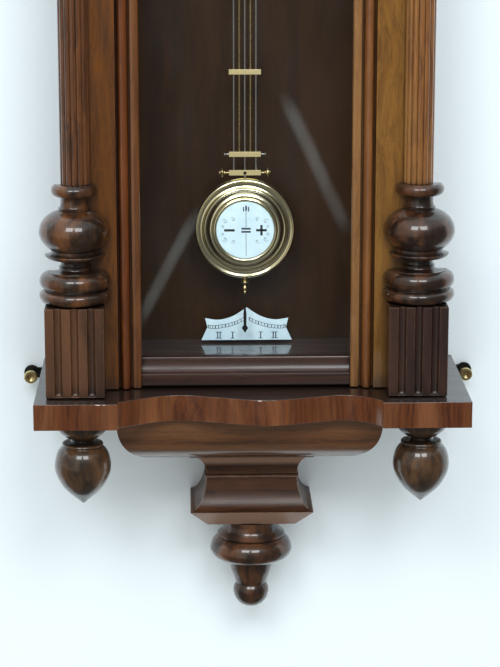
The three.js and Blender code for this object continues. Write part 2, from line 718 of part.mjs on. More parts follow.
// Fluted block in front of the door: three stopped flutes on its face
function flutedBlock(half, front, bottom, top) {
  const body = block(-half, half, 0, front - COLUMN_DEPTH, bottom, top);
  const pitch = (2 * half) / FLUTE_PITCH_SHARE;
  const tools = [-1, 0, 1].map((i) => {
    const groove = upright(FLUTE_WIDTH / 2, bottom + FLUTE_STOP, top - FLUTE_STOP);
    groove.scale(1, (2 * FLUTE_DEPTH) / FLUTE_WIDTH, 1);
    return groove.translate(i * pitch, -(front - COLUMN_DEPTH), 0);
  });
  return cut(body, ...tools);
}

const COLUMN_BASE = [
  [0, 0], [27, 0], [31, 2], [33.2, 6.6], [32.4, 10], [29.4, 12.4], [29.4, 13], [31.6, 16], [33.2, 20.8],
  [31.4, 25.2], [27, 27.8], [25.7, 29.8], [17.7, 30.8], [14.4, 33.2], [13.7, 36], [13.7, 39.6],
  [23, 42.2], [27.9, 44.8], [27.2, 47], [23.7, 49.6], [27.8, 52.8], [32.3, 58.8], [33.9, 66.4],
  [31.6, 73], [27, 79.4], [20.4, 83.4], [13.9, 88.4], [13.2, 92], [13.2, 98.4], [19, 100.2],
  [20.9, 104], [20.2, 108], [17.8, 110.2], [0, 110.2],
];

const CAPITAL = [
  [0, 0], [17.8, 0], [20.2, 2], [20.9, 5.6], [19, 9.4], [13.4, 11], [13.2, 17], [14.2, 22],
  [19, 27], [26, 31.4], [31, 38], [32.4, 46], [30.6, 53], [26, 57], [24.4, 60], [29, 62],
  [31.6, 66.4], [30.4, 71], [27, 73.6], [0, 73.6],
];

function makeColumns() {
  for (const i of [0, 1]) {
    const where = i === 0 ? 'left' : 'right';
    const x = i === 0 ? -COLUMN_SPREAD : COLUMN_SPREAD;
    const y = -COLUMN_DEPTH;
    const pedestal = flutedBlock(PEDESTAL_HALF, PEDESTAL_FRONT, DOOR_GAP, PEDESTAL_TOP);
    piece(`pedestal_${where}`, pedestal, 'walnut', x, y);
    const baseAt = PEDESTAL_TOP + GAP;
    piece(`column_base_${where}`, halfTurned(COLUMN_BASE), 'walnut', x + TURNING_SHIFTS[i], y, baseAt);
    const shaftBottom = baseAt + COLUMN_BASE[COLUMN_BASE.length - 1][1] + GAP;
    const shaft = makeShaft(SHAFT_TOP - shaftBottom);
    piece(`column_shaft_${where}`, shaft, 'walnutLight', x + SHAFT_SHIFTS[i], y, shaftBottom);
    const capitalAt = SHAFT_TOP + GAP;
    const turnedTop = capitalAt + CAPITAL[CAPITAL.length - 1][1];
    const blockBottom = DOOR_TOP - BLOCK_HEIGHT;
    const rise = blockBottom - turnedTop + 1;
    const neck = halfTurned([[0, 0], [CAPITAL_NECK_R, 0], [CAPITAL_NECK_R, rise], [0, rise]]);
    const capital = join(
      halfTurned(CAPITAL),
      neck.translate([0, 0, turnedTop - capitalAt - 0.5]),
      flutedBlock(BLOCK_HALF, PEDESTAL_FRONT - 2, blockBottom - capitalAt, DOOR_TOP - capitalAt),
    );
    piece(`capital_${where}`, capital, 'walnut', x, y, capitalAt);
  }
}

// Half-round shaft with shallow flutes all round
function makeShaft(length) {
  const points = [];
  const steps = SHAFT_FLUTES * 6;
  for (let i = 0; i <= steps / 2; i += 1) {
    const a = (2 * Math.PI * i) / steps;
    const wave = Math.abs(Math.sin((a * SHAFT_FLUTES) / 2));
    const r = SHAFT_R - SHAFT_FLUTE_DEPTH * (1 - Math.pow(wave, 0.6));
    points.push([r * Math.cos(a), r * Math.sin(a)]);
  }
  return board(outline(points), 0, length);
}

function makeCornice() {
  const top = board(
    boardPlan(BASE_WIDTH - 2 * CORNICE_INSET, BASE_DEPTH - CORNICE_SETBACK), CORNICE_BOTTOM, CORNICE_THICK,
  );
  const tier = roundedTier(TIER_WIDTH, TIER_DEPTH, TIER_HEIGHT, TIER_ROUND).scale(1, 1, -1);
  piece('cornice', join(top, tier.translate(0, 0, CORNICE_TOP - GAP)), 'veneer');
}

const CREST_FINIAL = [
  [0, 0], [10.6, 0], [10.6, 6], [8, 9], [7.4, 13], [12, 17], [18, 23], [20, 31], [17, 39], [11, 44],
  [8, 47], [10, 50], [9, 54], [6, 61], [3, 69], [0, 73],
];

// Crest: a sawn pediment with hollow shoulders, a round head and a raised rib along its edge
function makeCrest() {
  const half = CREST_HALF;
  const tall = CREST_HEIGHT;
  const right = [
    [half, 0], [half, 16], ...arc(half, 44, 28, 28, 270, 180, 6), [half - 30, 50],
    ...arc(half - 58, 52, 26, 22, 0, 80, 4), ...arc(half - 60, 96, 18, 20, 250, 180, 4),
    ...arc(0, tall - 34, 34, 34, 20, 88, 5),
  ];
  const left = right.map(([x, z]) => [-x, z]).reverse();
  const outer = [...right, ...left];
  const body = plate(outline(outer), 0, CREST_THICK);
  const rosette = faced([
    [0, CREST_THICK - 1], [22, CREST_THICK - 1], [22, CREST_THICK + 2], [19, CREST_THICK + 4],
    [15, CREST_THICK + 2], [9, CREST_THICK + 4], [0, CREST_THICK + 6.4],
  ], 18).translate(0, 0, tall - 40);
  const foot = block(-half + 4, half - 4, CREST_THICK - 1, CREST_THICK + 4, 0, CREST_FOOT);
  const finial = turned(CREST_FINIAL, 14).translate(0, -CREST_THICK / 2, tall - 2);
  const bottom = CORNICE_TOP + TIER_HEIGHT;
  piece('crest', join(body, rosette, foot, finial), 'walnut', 0, -CREST_DEPTH + CREST_THICK, bottom);
}

function makeCornerFinials() {
  for (const side of [-1, 1]) {
    const name = side < 0 ? 'corner_finial_left' : 'corner_finial_right';
    piece(name, turned([[0, 0], ...ACORN]), 'darkWood', side * DROP_SPREAD, -DROP_DEPTH, CORNICE_TOP + GAP);
  }
}

// Beat scale: enamelled plate with a hollow-sided top, on two posts
function makeBeatScale() {
  const dip = smooth([[40.4, 21.9], [26.8, 20.2], [13, 24], [0, 32.5]], 12);
  const top = [[44, 0], [38.1, 12.7], ...dip];
  const left = top.slice(0, -1).map(([x, z]) => [-x, z]).reverse();
  const shape = outline([...top, ...left]);
  const posts = [-22, 22].map((x) => spindle(2.4, BACK_THICK + GAP, SCALE_REAR + 0.2, x, 9, 12));
  const body = join(plate(shape, SCALE_REAR, SCALE_THICK), ...posts);
  piece('beat_scale', body, 'enamel', SCALE_X, 0, SCALE_BOTTOM);
}

// Iron bracket on the backboard: seat arms under the movement and the cock that the pendulum hangs on
function makeBracket() {
  const rear = BACK_THICK + GAP;
  const face = rear + 4;
  const seatTop = DIAL_Z - PLATE_BELOW - GAP;
  const pivotZ = DIAL_Z + ANCHOR_AT[1];
  const back = plate(outline([
    [-42, -84], [42, -84], [42, -60], [20, -30], [20, 40], [12, 64], [-12, 64], [-20, 40], [-20, -30],
    [-42, -60],
  ]), rear, face - rear).translate(0, 0, DIAL_Z);
  const arms = [-1, 1].map((side) => run([
    [face - 1, seatTop], [PLATE_FRONT_FACE, seatTop], [PLATE_FRONT_FACE, seatTop - 5],
    [face - 1, seatTop - 14],
  ], side * 34 - 4, side * 34 + 4));
  const cockBottom = pivotZ + 2 * GAP + 1.2;
  const cock = run([
    [face - 1, cockBottom - 8], [30, cockBottom], [PENDULUM_DEPTH + 1.6, cockBottom],
    [PENDULUM_DEPTH + 1.6, cockBottom + 8], [face - 1, cockBottom + 8],
  ], -8, 8);
  piece('movement_bracket', join(back, ...arms, cock), 'iron', MOVEMENT_X);
}

// Teeth round a wheel: a narrow flat tip, sloping flanks and a sharp gap; phase in degrees
function wheelTeeth(teeth, r, phase) {
  const pitch = (2 * Math.PI) / teeth;
  const arcPitch = pitch * r;
  const tip = r + 0.3 * arcPitch;
  const low = r - 0.38 * arcPitch;
  const points = [];
  for (let i = 0; i < teeth; i += 1) {
    const mid = THREE.MathUtils.degToRad(phase) + i * pitch;
    points.push(polar(low, mid - pitch / 2));
    points.push(polar(tip, mid - 0.05 * pitch), polar(tip, mid + 0.05 * pitch));
  }
  return points;
}

// Leaves of a pinion: slender, with wide gaps that the wheel's teeth run in
function pinionLeaves(leaves, r, phase) {
  const pitch = (2 * Math.PI) / leaves;
  const arcPitch = pitch * r;
  const tip = r + 0.19 * arcPitch;
  const low = r - 0.38 * arcPitch;
  const points = [];
  for (let i = 0; i < leaves; i += 1) {
    const mid = THREE.MathUtils.degToRad(phase) + i * pitch;
    points.push(polar(low, mid - 0.2 * pitch), polar(tip, mid - 0.05 * pitch));
    points.push(polar(tip, mid + 0.05 * pitch), polar(low, mid + 0.2 * pitch));
  }
  return points;
}

function polar(r, angle) {
  return [r * Math.cos(angle), r * Math.sin(angle)];
}

// Spoke windows between a hub and a rim
function crossings(count, inner, outer, spoke) {
  const holes = [];
  for (let i = 0; i < count; i += 1) {
    const a0 = (360 / count) * i;
    const a1 = (360 / count) * (i + 1);
    const trimOut = THREE.MathUtils.radToDeg(spoke / 2 / outer);
    const trimIn = THREE.MathUtils.radToDeg(spoke / 2 / inner);
    holes.push([
      ...arc(0, 0, outer, outer, a0 + trimOut, a1 - trimOut, 4),
      ...arc(0, 0, inner, inner, a1 - trimIn, a0 + trimIn, 1),
    ]);
  }
  return holes;
}

function toward(from, to) {
  return THREE.MathUtils.radToDeg(Math.atan2(to[1] - from[1], to[0] - from[0]));
}

// Meeting point of two circles: the arbor that meshes with both its neighbours
function meet(a, ra, b, rb, side) {
  const dx = b[0] - a[0];
  const dz = b[1] - a[1];
  const d = Math.hypot(dx, dz);
  const along = (ra * ra - rb * rb + d * d) / (2 * d);
  const off = side * Math.sqrt(ra * ra - along * along);
  return [a[0] + (along * dx - off * dz) / d, a[1] + (along * dz + off * dx) / d];
}

const pinionR = (wheelR, wheelTeeth, leaves) => (wheelR * leaves) / wheelTeeth;
const SECOND_PINION_R = pinionR(GREAT_R, GREAT_TEETH, SECOND_PINION);
const CENTRE_PINION_R = pinionR(SECOND_R, SECOND_TEETH, CENTRE_PINION);
const THIRD_PINION_R = pinionR(CENTRE_R, CENTRE_TEETH, THIRD_PINION);
const ESCAPE_PINION_R = pinionR(THIRD_R, THIRD_TEETH, ESCAPE_PINION);
const SECOND_AT = meet(BARREL_AT, GREAT_R + SECOND_PINION_R, CENTRE_AT, SECOND_R + CENTRE_PINION_R, -1);
const THIRD_AT = meet(CENTRE_AT, CENTRE_R + THIRD_PINION_R, ESCAPE_AT, THIRD_R + ESCAPE_PINION_R, 1);
const MINUTE_R = (CANNON_R * MINUTE_TEETH) / CANNON_TEETH;
const HOUR_R = (MINUTE_PINION_R * HOUR_TEETH) / MINUTE_PINION;
const MINUTE_DISTANCE = CANNON_R + MINUTE_R;
const MINUTE_AT = [
  CENTRE_AT[0] + MINUTE_DISTANCE * Math.cos(THREE.MathUtils.degToRad(MINUTE_WHEEL_ANGLE)),
  CENTRE_AT[1] + MINUTE_DISTANCE * Math.sin(THREE.MathUtils.degToRad(MINUTE_WHEEL_ANGLE)),
];

// Heights of the trains between the plates, as depths
const SECOND_WHEEL_REAR = BETWEEN + 2;
const THIRD_WHEEL_REAR = BETWEEN + 1.6;
const ESCAPE_WHEEL_REAR = BETWEEN + 5.6;
const DRUM_REAR = BETWEEN + 6.5;
const GREAT_REAR = BETWEEN + 20.8;
const CENTRE_WHEEL_REAR = BETWEEN + 23.8;
const CANNON_REAR = PLATE_FRONT_FACE + 0.8;
const HOUR_HAND_REAR = DIAL_REAR + DIAL_THICK + 1.8;
const MINUTE_HAND_REAR = DIAL_REAR + DIAL_THICK + 4.2;

// Arbor that turns in both plates, with its pivots reaching into their holes
function arborBar(r) {
  return spindle(r, BACK_PLATE_REAR + 0.6, PLATE_FRONT_FACE - 0.6, 0, 0, 8);
}

function wheel(teeth, r, phase, rear, thick, holes = []) {
  return plate(outline(wheelTeeth(teeth, r, phase), holes), rear, thick);
}

// A gap of the pinion faces the wheel that it meshes with
function pinion(leaves, r, facing, rear, thick) {
  return plate(outline(pinionLeaves(leaves, r, facing + 180 / leaves)), rear, thick);
}

function inMovement(name, shape, finish, [x, z]) {
  piece(name, shape, finish, MOVEMENT_X + x, 0, DIAL_Z + z);
}

function makeBarrel() {
  const great = wheel(GREAT_TEETH, GREAT_R, toward(BARREL_AT, SECOND_AT), GREAT_REAR, 2);
  const drum = faced([
    [0, DRUM_REAR], [DRUM_R - 1.4, DRUM_REAR], [DRUM_R - 1.4, DRUM_REAR + 1.2], [DRUM_R, DRUM_REAR + 1.2],
    [DRUM_R, GREAT_REAR + 0.1], [0, GREAT_REAR + 0.1],
  ], 32);
  const bore = spindle(BARREL_ARBOR_R + PIVOT_GAP, 0, THROUGH, 0, 0, 16);
  inMovement('mainspring_barrel', cut(join(great, drum), bore), 'brass', BARREL_AT);
}

function makeBarrelArbor() {
  const tip = DIAL_REAR + DIAL_THICK + 1.1;
  const bar = spindle(BARREL_ARBOR_R, BACK_PLATE_REAR + 0.6, PLATE_FRONT_FACE + 3, 0, 0, 16);
  const square = block(-1.9, 1.9, PLATE_FRONT_FACE + 2, tip, -1.9, 1.9);
  const points = [];
  for (let i = 0; i < RATCHET_TEETH; i += 1) {
    const a = (2 * Math.PI * i) / RATCHET_TEETH;
    const b = a + 0.06;
    points.push([RATCHET_R * Math.cos(a), RATCHET_R * Math.sin(a)]);
    points.push([(RATCHET_R - 1.6) * Math.cos(b), (RATCHET_R - 1.6) * Math.sin(b)]);
  }
  const ratchet = plate(outline(points), PLATE_FRONT_FACE + GAP, 1.6);
  inMovement('winding_arbor', join(bar, square, ratchet), 'steel', BARREL_AT);
}

const CLICK_AT = [BARREL_AT[0] - 15, BARREL_AT[1] - 8];

function makeClick() {
  const rear = PLATE_FRONT_FACE + GAP;
  const reach = Math.hypot(BARREL_AT[0] - CLICK_AT[0], BARREL_AT[1] - CLICK_AT[1]) - RATCHET_R;
  const arm = outline([[-3, -2.6], [2, -2.8], [reach - 0.6, 0.6], [reach - 0.4, 2], [1, 3], [-3, 2.2]]);
  const angle = THREE.MathUtils.degToRad(toward(CLICK_AT, BARREL_AT) + 12);
  const body = plate(arm, rear, 1.6).rotateY(-angle);
  const bore = spindle(1 + PIVOT_GAP, 0, THROUGH, 0, 0, 12);
  inMovement('click', cut(body, bore), 'steel', CLICK_AT);
}

function makeSecondWheel() {
  const spokes = crossings(4, 4.6, 15, 2.2);
  const facing = toward(SECOND_AT, CENTRE_AT);
  const large = wheel(SECOND_TEETH, SECOND_R, facing, SECOND_WHEEL_REAR, WHEEL_THICK, spokes);
  const small = pinion(SECOND_PINION, SECOND_PINION_R, toward(SECOND_AT, BARREL_AT), GREAT_REAR - 0.6, 3.2);
  inMovement('second_wheel', join(large, small, arborBar(ARBOR_R)), 'brass', SECOND_AT);
}

// The centre wheel's arbor runs out through the dial and carries the cannon pinion and the minute hand
function makeCentreWheel() {
  const spokes = crossings(4, 4.6, 16, 2.2);
  const facing = toward(CENTRE_AT, THIRD_AT);
  const large = wheel(CENTRE_TEETH, CENTRE_R, facing, CENTRE_WHEEL_REAR, WHEEL_THICK, spokes);
  const driven = toward(CENTRE_AT, SECOND_AT);
  const small = pinion(CENTRE_PINION, CENTRE_PINION_R, driven, SECOND_WHEEL_REAR - 0.8, 3.2);
  const cannon = pinion(CANNON_TEETH, CANNON_R, toward(CENTRE_AT, MINUTE_AT), CANNON_REAR, 1.6);
  const tip = MINUTE_HAND_REAR + HAND_THICK + 1.6;
  const arbor = spindle(CENTRE_ARBOR_R, BACK_PLATE_REAR + 0.6, tip, 0, 0, 14);
  inMovement('centre_wheel', join(large, small, cannon, arbor), 'brass', CENTRE_AT);
}

function makeThirdWheel() {
  const spokes = crossings(4, 4, 13.6, 2);
  const large = wheel(THIRD_TEETH, THIRD_R, toward(THIRD_AT, ESCAPE_AT), THIRD_WHEEL_REAR, 1.3, spokes);
  const driven = toward(THIRD_AT, CENTRE_AT);
  const small = pinion(THIRD_PINION, THIRD_PINION_R, driven, CENTRE_WHEEL_REAR - 0.6, 2.6);
  inMovement('third_wheel', join(large, small, arborBar(ARBOR_R)), 'brass', THIRD_AT);
}

// Escape wheel: slender pointed teeth, with a gap straight below the anchor
function makeEscapeWheel() {
  const pitch = 360 / ESCAPE_TEETH;
  const points = [];
  for (let i = 0; i < ESCAPE_TEETH; i += 1) {
    const mid = 90 + (i + 0.5) * pitch;
    const tip = THREE.MathUtils.degToRad(mid);
    const rootIn = THREE.MathUtils.degToRad(mid - 0.32 * pitch);
    const rootOut = THREE.MathUtils.degToRad(mid + 0.32 * pitch);
    const low = ESCAPE_R - 2.6;
    points.push([low * Math.cos(rootIn), low * Math.sin(rootIn)]);
    points.push([ESCAPE_R * Math.cos(tip - 0.01), ESCAPE_R * Math.sin(tip - 0.01)]);
    points.push([ESCAPE_R * Math.cos(tip + 0.01), ESCAPE_R * Math.sin(tip + 0.01)]);
    points.push([low * Math.cos(rootOut), low * Math.sin(rootOut)]);
  }
  const large = plate(outline(points, crossings(4, 3.6, 12.4, 1.8)), ESCAPE_WHEEL_REAR, 1.2);
  const driven = toward(ESCAPE_AT, THIRD_AT);
  const small = pinion(ESCAPE_PINION, ESCAPE_PINION_R, driven, THIRD_WHEEL_REAR - 0.6, 2.6);
  inMovement('escape_wheel', join(large, small, arborBar(ARBOR_R)), 'brass', ESCAPE_AT);
}

// Anchor with its arbor, and the crutch behind the back plate that leads the pendulum
function makeAnchor() {
  const rise = ANCHOR_AT[1] - ESCAPE_AT[1];
  const span = THREE.MathUtils.degToRad(45);
  const rear = ESCAPE_WHEEL_REAR - 0.7;
  const tipR = ESCAPE_R + 1;
  const spine = (r, off) => [
    r * Math.sin(span) + off * Math.cos(span), r * Math.cos(span) - rise - off * Math.sin(span),
  ];
  const right = [
    spine(tipR, -0.4), spine(tipR, 0.4), spine(ESCAPE_R + 4.4, 2.4), [9, 1.6], [0, 4],
  ];
  const inner = [spine(ESCAPE_R + 3, -0.9), [0, -3.4]];
  const mirror = (points) => points.map(([x, z]) => [-x, z]).reverse();
  const left = [...mirror(right.slice(0, -1)), ...mirror([inner[0]])];
  const shape = outline([inner[0], ...right, ...left, inner[1]]);
  const pallets = plate(shape, rear, 2.6);
  const arbor = spindle(1, PENDULUM_DEPTH + 2.4, PLATE_FRONT_FACE - 0.6, 0, 0, 12);
  const crutchRear = PENDULUM_DEPTH + 2.2;
  const foot = -CRUTCH_LENGTH - 2.4;
  const strip = plate(outline([[-1.6, 3], [1.6, 3], [2, foot], [-2, foot]]), crutchRear, 1.5);
  const pin = spindle(0.8, PENDULUM_DEPTH - 3, crutchRear + 0.5, 0, -CRUTCH_LENGTH, 12);
  inMovement('anchor_and_crutch', join(pallets, arbor, strip, pin), 'steel', ANCHOR_AT);
}

function makeMinuteWheel() {
  const facing = toward(MINUTE_AT, CENTRE_AT);
  const large = wheel(MINUTE_TEETH, MINUTE_R, facing, CANNON_REAR + 0.2, 1.2, crossings(4, 5, 11, 1.8));
  const small = pinion(MINUTE_PINION, MINUTE_PINION_R, facing, CANNON_REAR + 1.3, 3);
  const bore = spindle(1 + PIVOT_GAP, 0, THROUGH, 0, 0, 12);
  inMovement('minute_wheel', cut(join(large, small), bore), 'brass', MINUTE_AT);
}

function makeHourWheel() {
  const rear = CANNON_REAR + 2.1;
  const large = wheel(HOUR_TEETH, HOUR_R, toward(CENTRE_AT, MINUTE_AT), rear, WHEEL_THICK);
  const pipe = spindle(2.7, rear, HOUR_HAND_REAR + HAND_THICK + 0.4, 0, 0, 16);
  const bore = spindle(CENTRE_ARBOR_R + PIVOT_GAP, 0, THROUGH, 0, 0, 16);
  inMovement('hour_wheel', cut(join(large, pipe), bore), 'brass', CENTRE_AT);
}

// Plates with pivot holes; the four pillars stand on the back plate
function plateWithHoles(rear, holes) {
  const slab = block(-PLATE_HALF, PLATE_HALF, rear, rear + PLATE_THICK, -PLATE_BELOW, PLATE_ABOVE);
  const tools = holes.map(([[x, z], r]) => spindle(r, 0, THROUGH, x, z, 12));
  return cut(slab, ...tools);
}

const PILLARS = [-1, 1].flatMap((sx) => [
  [sx * (PLATE_HALF - 7), -PLATE_BELOW + 7], [sx * (PLATE_HALF - 7), PLATE_ABOVE - 7],
]);

function makePlates() {
  const pivots = [
    [BARREL_AT, BARREL_ARBOR_R + PIVOT_GAP], [CENTRE_AT, CENTRE_ARBOR_R + PIVOT_GAP],
    [SECOND_AT, ARBOR_R + PIVOT_GAP], [THIRD_AT, ARBOR_R + PIVOT_GAP], [ESCAPE_AT, ARBOR_R + PIVOT_GAP],
    [ANCHOR_AT, 1 + PIVOT_GAP],
  ];
  const pillars = PILLARS.map(([x, z]) => faced([
    [0, BETWEEN - 0.5], [PILLAR_R, BETWEEN - 0.5], [PILLAR_R, PLATE_FRONT_REAR - GAP],
    [PILLAR_R / 2, PLATE_FRONT_REAR - GAP], [PILLAR_R / 2, PLATE_FRONT_FACE + 1.6],
    [0, PLATE_FRONT_FACE + 1.6],
  ], 12).translate(x, 0, z));
  inMovement('back_plate', join(plateWithHoles(BACK_PLATE_REAR, pivots), ...pillars), 'brass', [0, 0]);
  const pillarHoles = PILLARS.map((p) => [p, PILLAR_R / 2 + PIVOT_GAP]);
  const studs = [
    spindle(1, PLATE_FRONT_REAR + 0.5, CANNON_REAR + 4.2, MINUTE_AT[0], MINUTE_AT[1], 12),
    spindle(1, PLATE_FRONT_REAR + 0.5, PLATE_FRONT_FACE + 2.6, CLICK_AT[0], CLICK_AT[1], 12),
  ];
  const front = join(plateWithHoles(PLATE_FRONT_REAR, [...pivots, ...pillarHoles]), ...studs);
  inMovement('front_plate', front, 'brass', [0, 0]);
}

function makeDial() {
  const disc = faced([
    [HOUR_PIPE_HOLE, DIAL_REAR], [DIAL_R, DIAL_REAR], [DIAL_R, DIAL_REAR + DIAL_THICK],
    [HOUR_PIPE_HOLE, DIAL_REAR + DIAL_THICK], [HOUR_PIPE_HOLE, DIAL_REAR],
  ], 36);
  const feet = [[-38, 30], [38, 30], [-38, -40], [38, -40]].map(([x, z]) => (
    spindle(2, PLATE_FRONT_FACE + GAP, DIAL_REAR + 0.5, x, z, 12)
  ));
  const keyhole = spindle(BARREL_ARBOR_R + 1, 0, THROUGH, BARREL_AT[0], BARREL_AT[1], 16);
  inMovement('dial', cut(join(disc, ...feet), keyhole), 'enamel', [0, 0]);
  const ring = faced([
    [DIAL_R + GAP, DIAL_REAR], [BEZEL_R, DIAL_REAR - 1], [BEZEL_R, DIAL_REAR + 3],
    [BEZEL_R - 3, DIAL_REAR + 5],
    [DIAL_R - 2.2, DIAL_REAR + DIAL_THICK + 3 * GAP], [DIAL_R - 2.2, DIAL_REAR + DIAL_THICK + GAP],
    [DIAL_R + GAP, DIAL_REAR + DIAL_THICK + GAP], [DIAL_R + GAP, DIAL_REAR],
  ], 36);
  inMovement('dial_bezel', ring, 'brass', [0, 0]);
}

// Hand drawn pointing up, then turned clockwise by its angle
function hand(outlinePoints, boreR, rear, degrees) {
  const right = outlinePoints;
  const left = right.filter(([x]) => x > 0).map(([x, z]) => [-x, z]).reverse();
  const shape = outline([...right, ...left], [arc(0, 0, boreR, boreR, 0, 345, 15)]);
  return plate(shape, rear, HAND_THICK).rotateY(THREE.MathUtils.degToRad(degrees));
}

function makeHands() {
  const hourAngle = (SHOWN_HOUR % 12) * 30 + SHOWN_MINUTE / 2;
  const L = HOUR_HAND;
  const hour = hand([
    [0, -7.4], [3.4, -6], [5, 0], [3, 4.4], [1.5, 8], [1.4, L * 0.48], [4.4, L * 0.58], [5.6, L * 0.68],
    [3, L * 0.76], [1.3, L * 0.8], [0, L],
  ], 2.7 + PIVOT_GAP, HOUR_HAND_REAR, hourAngle);
  inMovement('hour_hand', hour, 'blued', CENTRE_AT);
  const M = MINUTE_HAND;
  const minute = hand([
    [0, -6.4], [2.8, -5], [4, 0], [2.4, 4], [1.2, 7], [1.1, M * 0.6], [3.2, M * 0.66], [4, M * 0.72],
    [2.2, M * 0.78], [1, M * 0.81], [0, M],
  ], CENTRE_ARBOR_R + PIVOT_GAP, MINUTE_HAND_REAR, SHOWN_MINUTE * 6);
  inMovement('minute_hand', minute, 'blued', CENTRE_AT);
}

function makeSuspension() {
  const rear = PENDULUM_DEPTH - SPRING_THICK / 2;
  const top = PIVOT_Z + 1.5;
  const strip = block(-4, 4, rear, rear + SPRING_THICK, PIVOT_Z - 21, top - 0.5);
  const chopRear = PENDULUM_DEPTH - 1.2;
  const upper = block(-5.5, 5.5, chopRear, chopRear + 2.4, top - 4, top);
  const lower = block(-5.5, 5.5, chopRear, chopRear + 2.4, PIVOT_Z - 22, PIVOT_Z - 17);
  piece('suspension_spring', join(strip, upper, lower), 'steel', MOVEMENT_X);
}

function crossbar(z) {
  const rear = PENDULUM_DEPTH - BAR_THICK / 2;
  return block(-BAR_HALF, BAR_HALF, rear, rear + BAR_THICK, z - BAR_HEIGHT / 2, z + BAR_HEIGHT / 2);
}

function rod(i, r, z0, z1) {
  return upright(r, z0, z1, i * ROD_PITCH, PENDULUM_DEPTH, 10);
}

// Steel frame: two outer rods under a head bar, and the hook above it, slotted for the crutch pin
function makeSteelFrame() {
  const pinZ = PIVOT_Z - CRUTCH_LENGTH;
  const hook = block(-3.6, 3.6, PENDULUM_DEPTH - 1, PENDULUM_DEPTH + 1, UPPER_BAR, PIVOT_Z - 22 - GAP);
  const slot = block(-ROD_R - PIVOT_GAP, ROD_R + PIVOT_GAP, 0, 90, pinZ - 4, pinZ + 4);
  const rods = [-2, 2].map((i) => rod(i, ROD_R, LOWER_BAR - 1, UPPER_BAR));
  piece('pendulum_steel_frame', cut(join(crossbar(UPPER_BAR), hook, ...rods), slot), 'steel', MOVEMENT_X);
}

// Brass frame: two inner rods with the crossbars that guide the steel rods
function makeBrassFrame() {
  const rods = [-1, 1].map((i) => rod(i, ROD_R, BRASS_BARS[0], BRASS_BARS[BRASS_BARS.length - 1]));
  const pins = new THREE.CylinderGeometry(BAR_PIN_R, BAR_PIN_R, 2 * BAR_PIN_REACH, 8).rotateZ(Math.PI / 2);
  pins.translate(0, -PENDULUM_DEPTH, BRASS_BARS[0]);
  const bores = [-2, 0, 2].map((i) => rod(i, ROD_R + PIVOT_GAP, 0, UPPER_BAR));
  const body = join(...BRASS_BARS.map(crossbar), ...rods, pins);
  piece('pendulum_brass_frame', cut(body, ...bores), 'brass', MOVEMENT_X);
}

// Lowest crossbar, with a round knob at each end
function makeLowerBar() {
  const knobs = [-1, 1].map((side) => {
    const neck = new THREE.CylinderGeometry(1.6, 1.6, KNOB_X, 10).rotateZ(Math.PI / 2);
    neck.translate(side * (KNOB_X / 2 + 2), -PENDULUM_DEPTH, LOWER_BAR);
    const knob = new THREE.SphereGeometry(KNOB_R, 10, 7);
    return join(neck, knob.translate(side * KNOB_X, -PENDULUM_DEPTH, LOWER_BAR));
  });
  const through = rod(0, ROD_R + PIVOT_GAP, 0, UPPER_BAR);
  const blind = [-2, 2].map((i) => rod(i, ROD_R + PIVOT_GAP, LOWER_BAR - 1 - GAP, UPPER_BAR));
  const body = join(crossbar(LOWER_BAR), ...knobs);
  piece('pendulum_lower_bar', cut(body, through, ...blind), 'brass', MOVEMENT_X);
}

// Centre rod, which runs down through the bob to the pointer over the scale
function makePointerRod() {
  const top = UPPER_BAR - BAR_HEIGHT / 2 - GAP;
  const shaft = rod(0, ROD_R, POINTER_TOP - 1, top);
  const blade = plate(outline([
    [0.9, POINTER_LENGTH], [1.3, 23.7], [1.4, 10.7], [2.7, 6.3], [1.6, 3.3], [0, 0], [-1.6, 3.3],
    [-2.7, 6.3], [-1.4, 10.7], [-1.3, 23.7], [-0.9, POINTER_LENGTH],
  ]), PENDULUM_DEPTH - 0.6, 1.2).translate(0, 0, POINTER_TIP);
  piece('pendulum_pointer', join(shaft, blade), 'steel', MOVEMENT_X);
}

// Lens-shaped bob with rolled rings round a recess for the enamel disc; [radius, depth from the rod]
function makeBob() {
  const f = PENDULUM_DEPTH;
  const profile = [
    [0, 10.8], [ENAMEL_R + GAP, 10.8], [ENAMEL_R + GAP, 12.2], [29.6, 13], [33.6, 10.8], [36.3, 11.6],
    [40.6, 8.4], [44.9, 8], [BOB_R, 4], [46.4, 0.6], [39, -6], [22, -11], [0, -BOB_BACK],
  ].map(([r, d]) => [r, f + d]);
  const bore = upright(ROD_R + PIVOT_GAP, -80, 80, 0, PENDULUM_DEPTH, 12);
  piece('bob', cut(faced(profile, 32), bore), 'brass', MOVEMENT_X, 0, BOB_Z);
  const disc = faced([
    [0, f + 11.1], [ENAMEL_R, f + 11.1], [ENAMEL_R, f + 12], [0, f + 12.3],
  ], 32);
  piece('bob_enamel', disc, 'enamel', MOVEMENT_X, 0, BOB_Z);
}

// Rating nut under the bob: a knurled disc between two beads, bored for the rod
function makeRatingNut() {
  const inner = ROD_R + PIVOT_GAP;
  const top = BOB_Z - BOB_R - GAP;
  const profile = [
    [inner, -7], [2.2, -6.6], [2.7, -5], [2, -3], [1.8, -2], [4.9, -1.4], [5.2, 0], [4.9, 1.4], [2, 1.9],
    [2.5, 3.4], [1.7, top - NUT_Z], [inner, top - NUT_Z], [inner, -7],
  ];
  piece('rating_nut', turned(profile, 14), 'brass', MOVEMENT_X, -PENDULUM_DEPTH, NUT_Z);
}

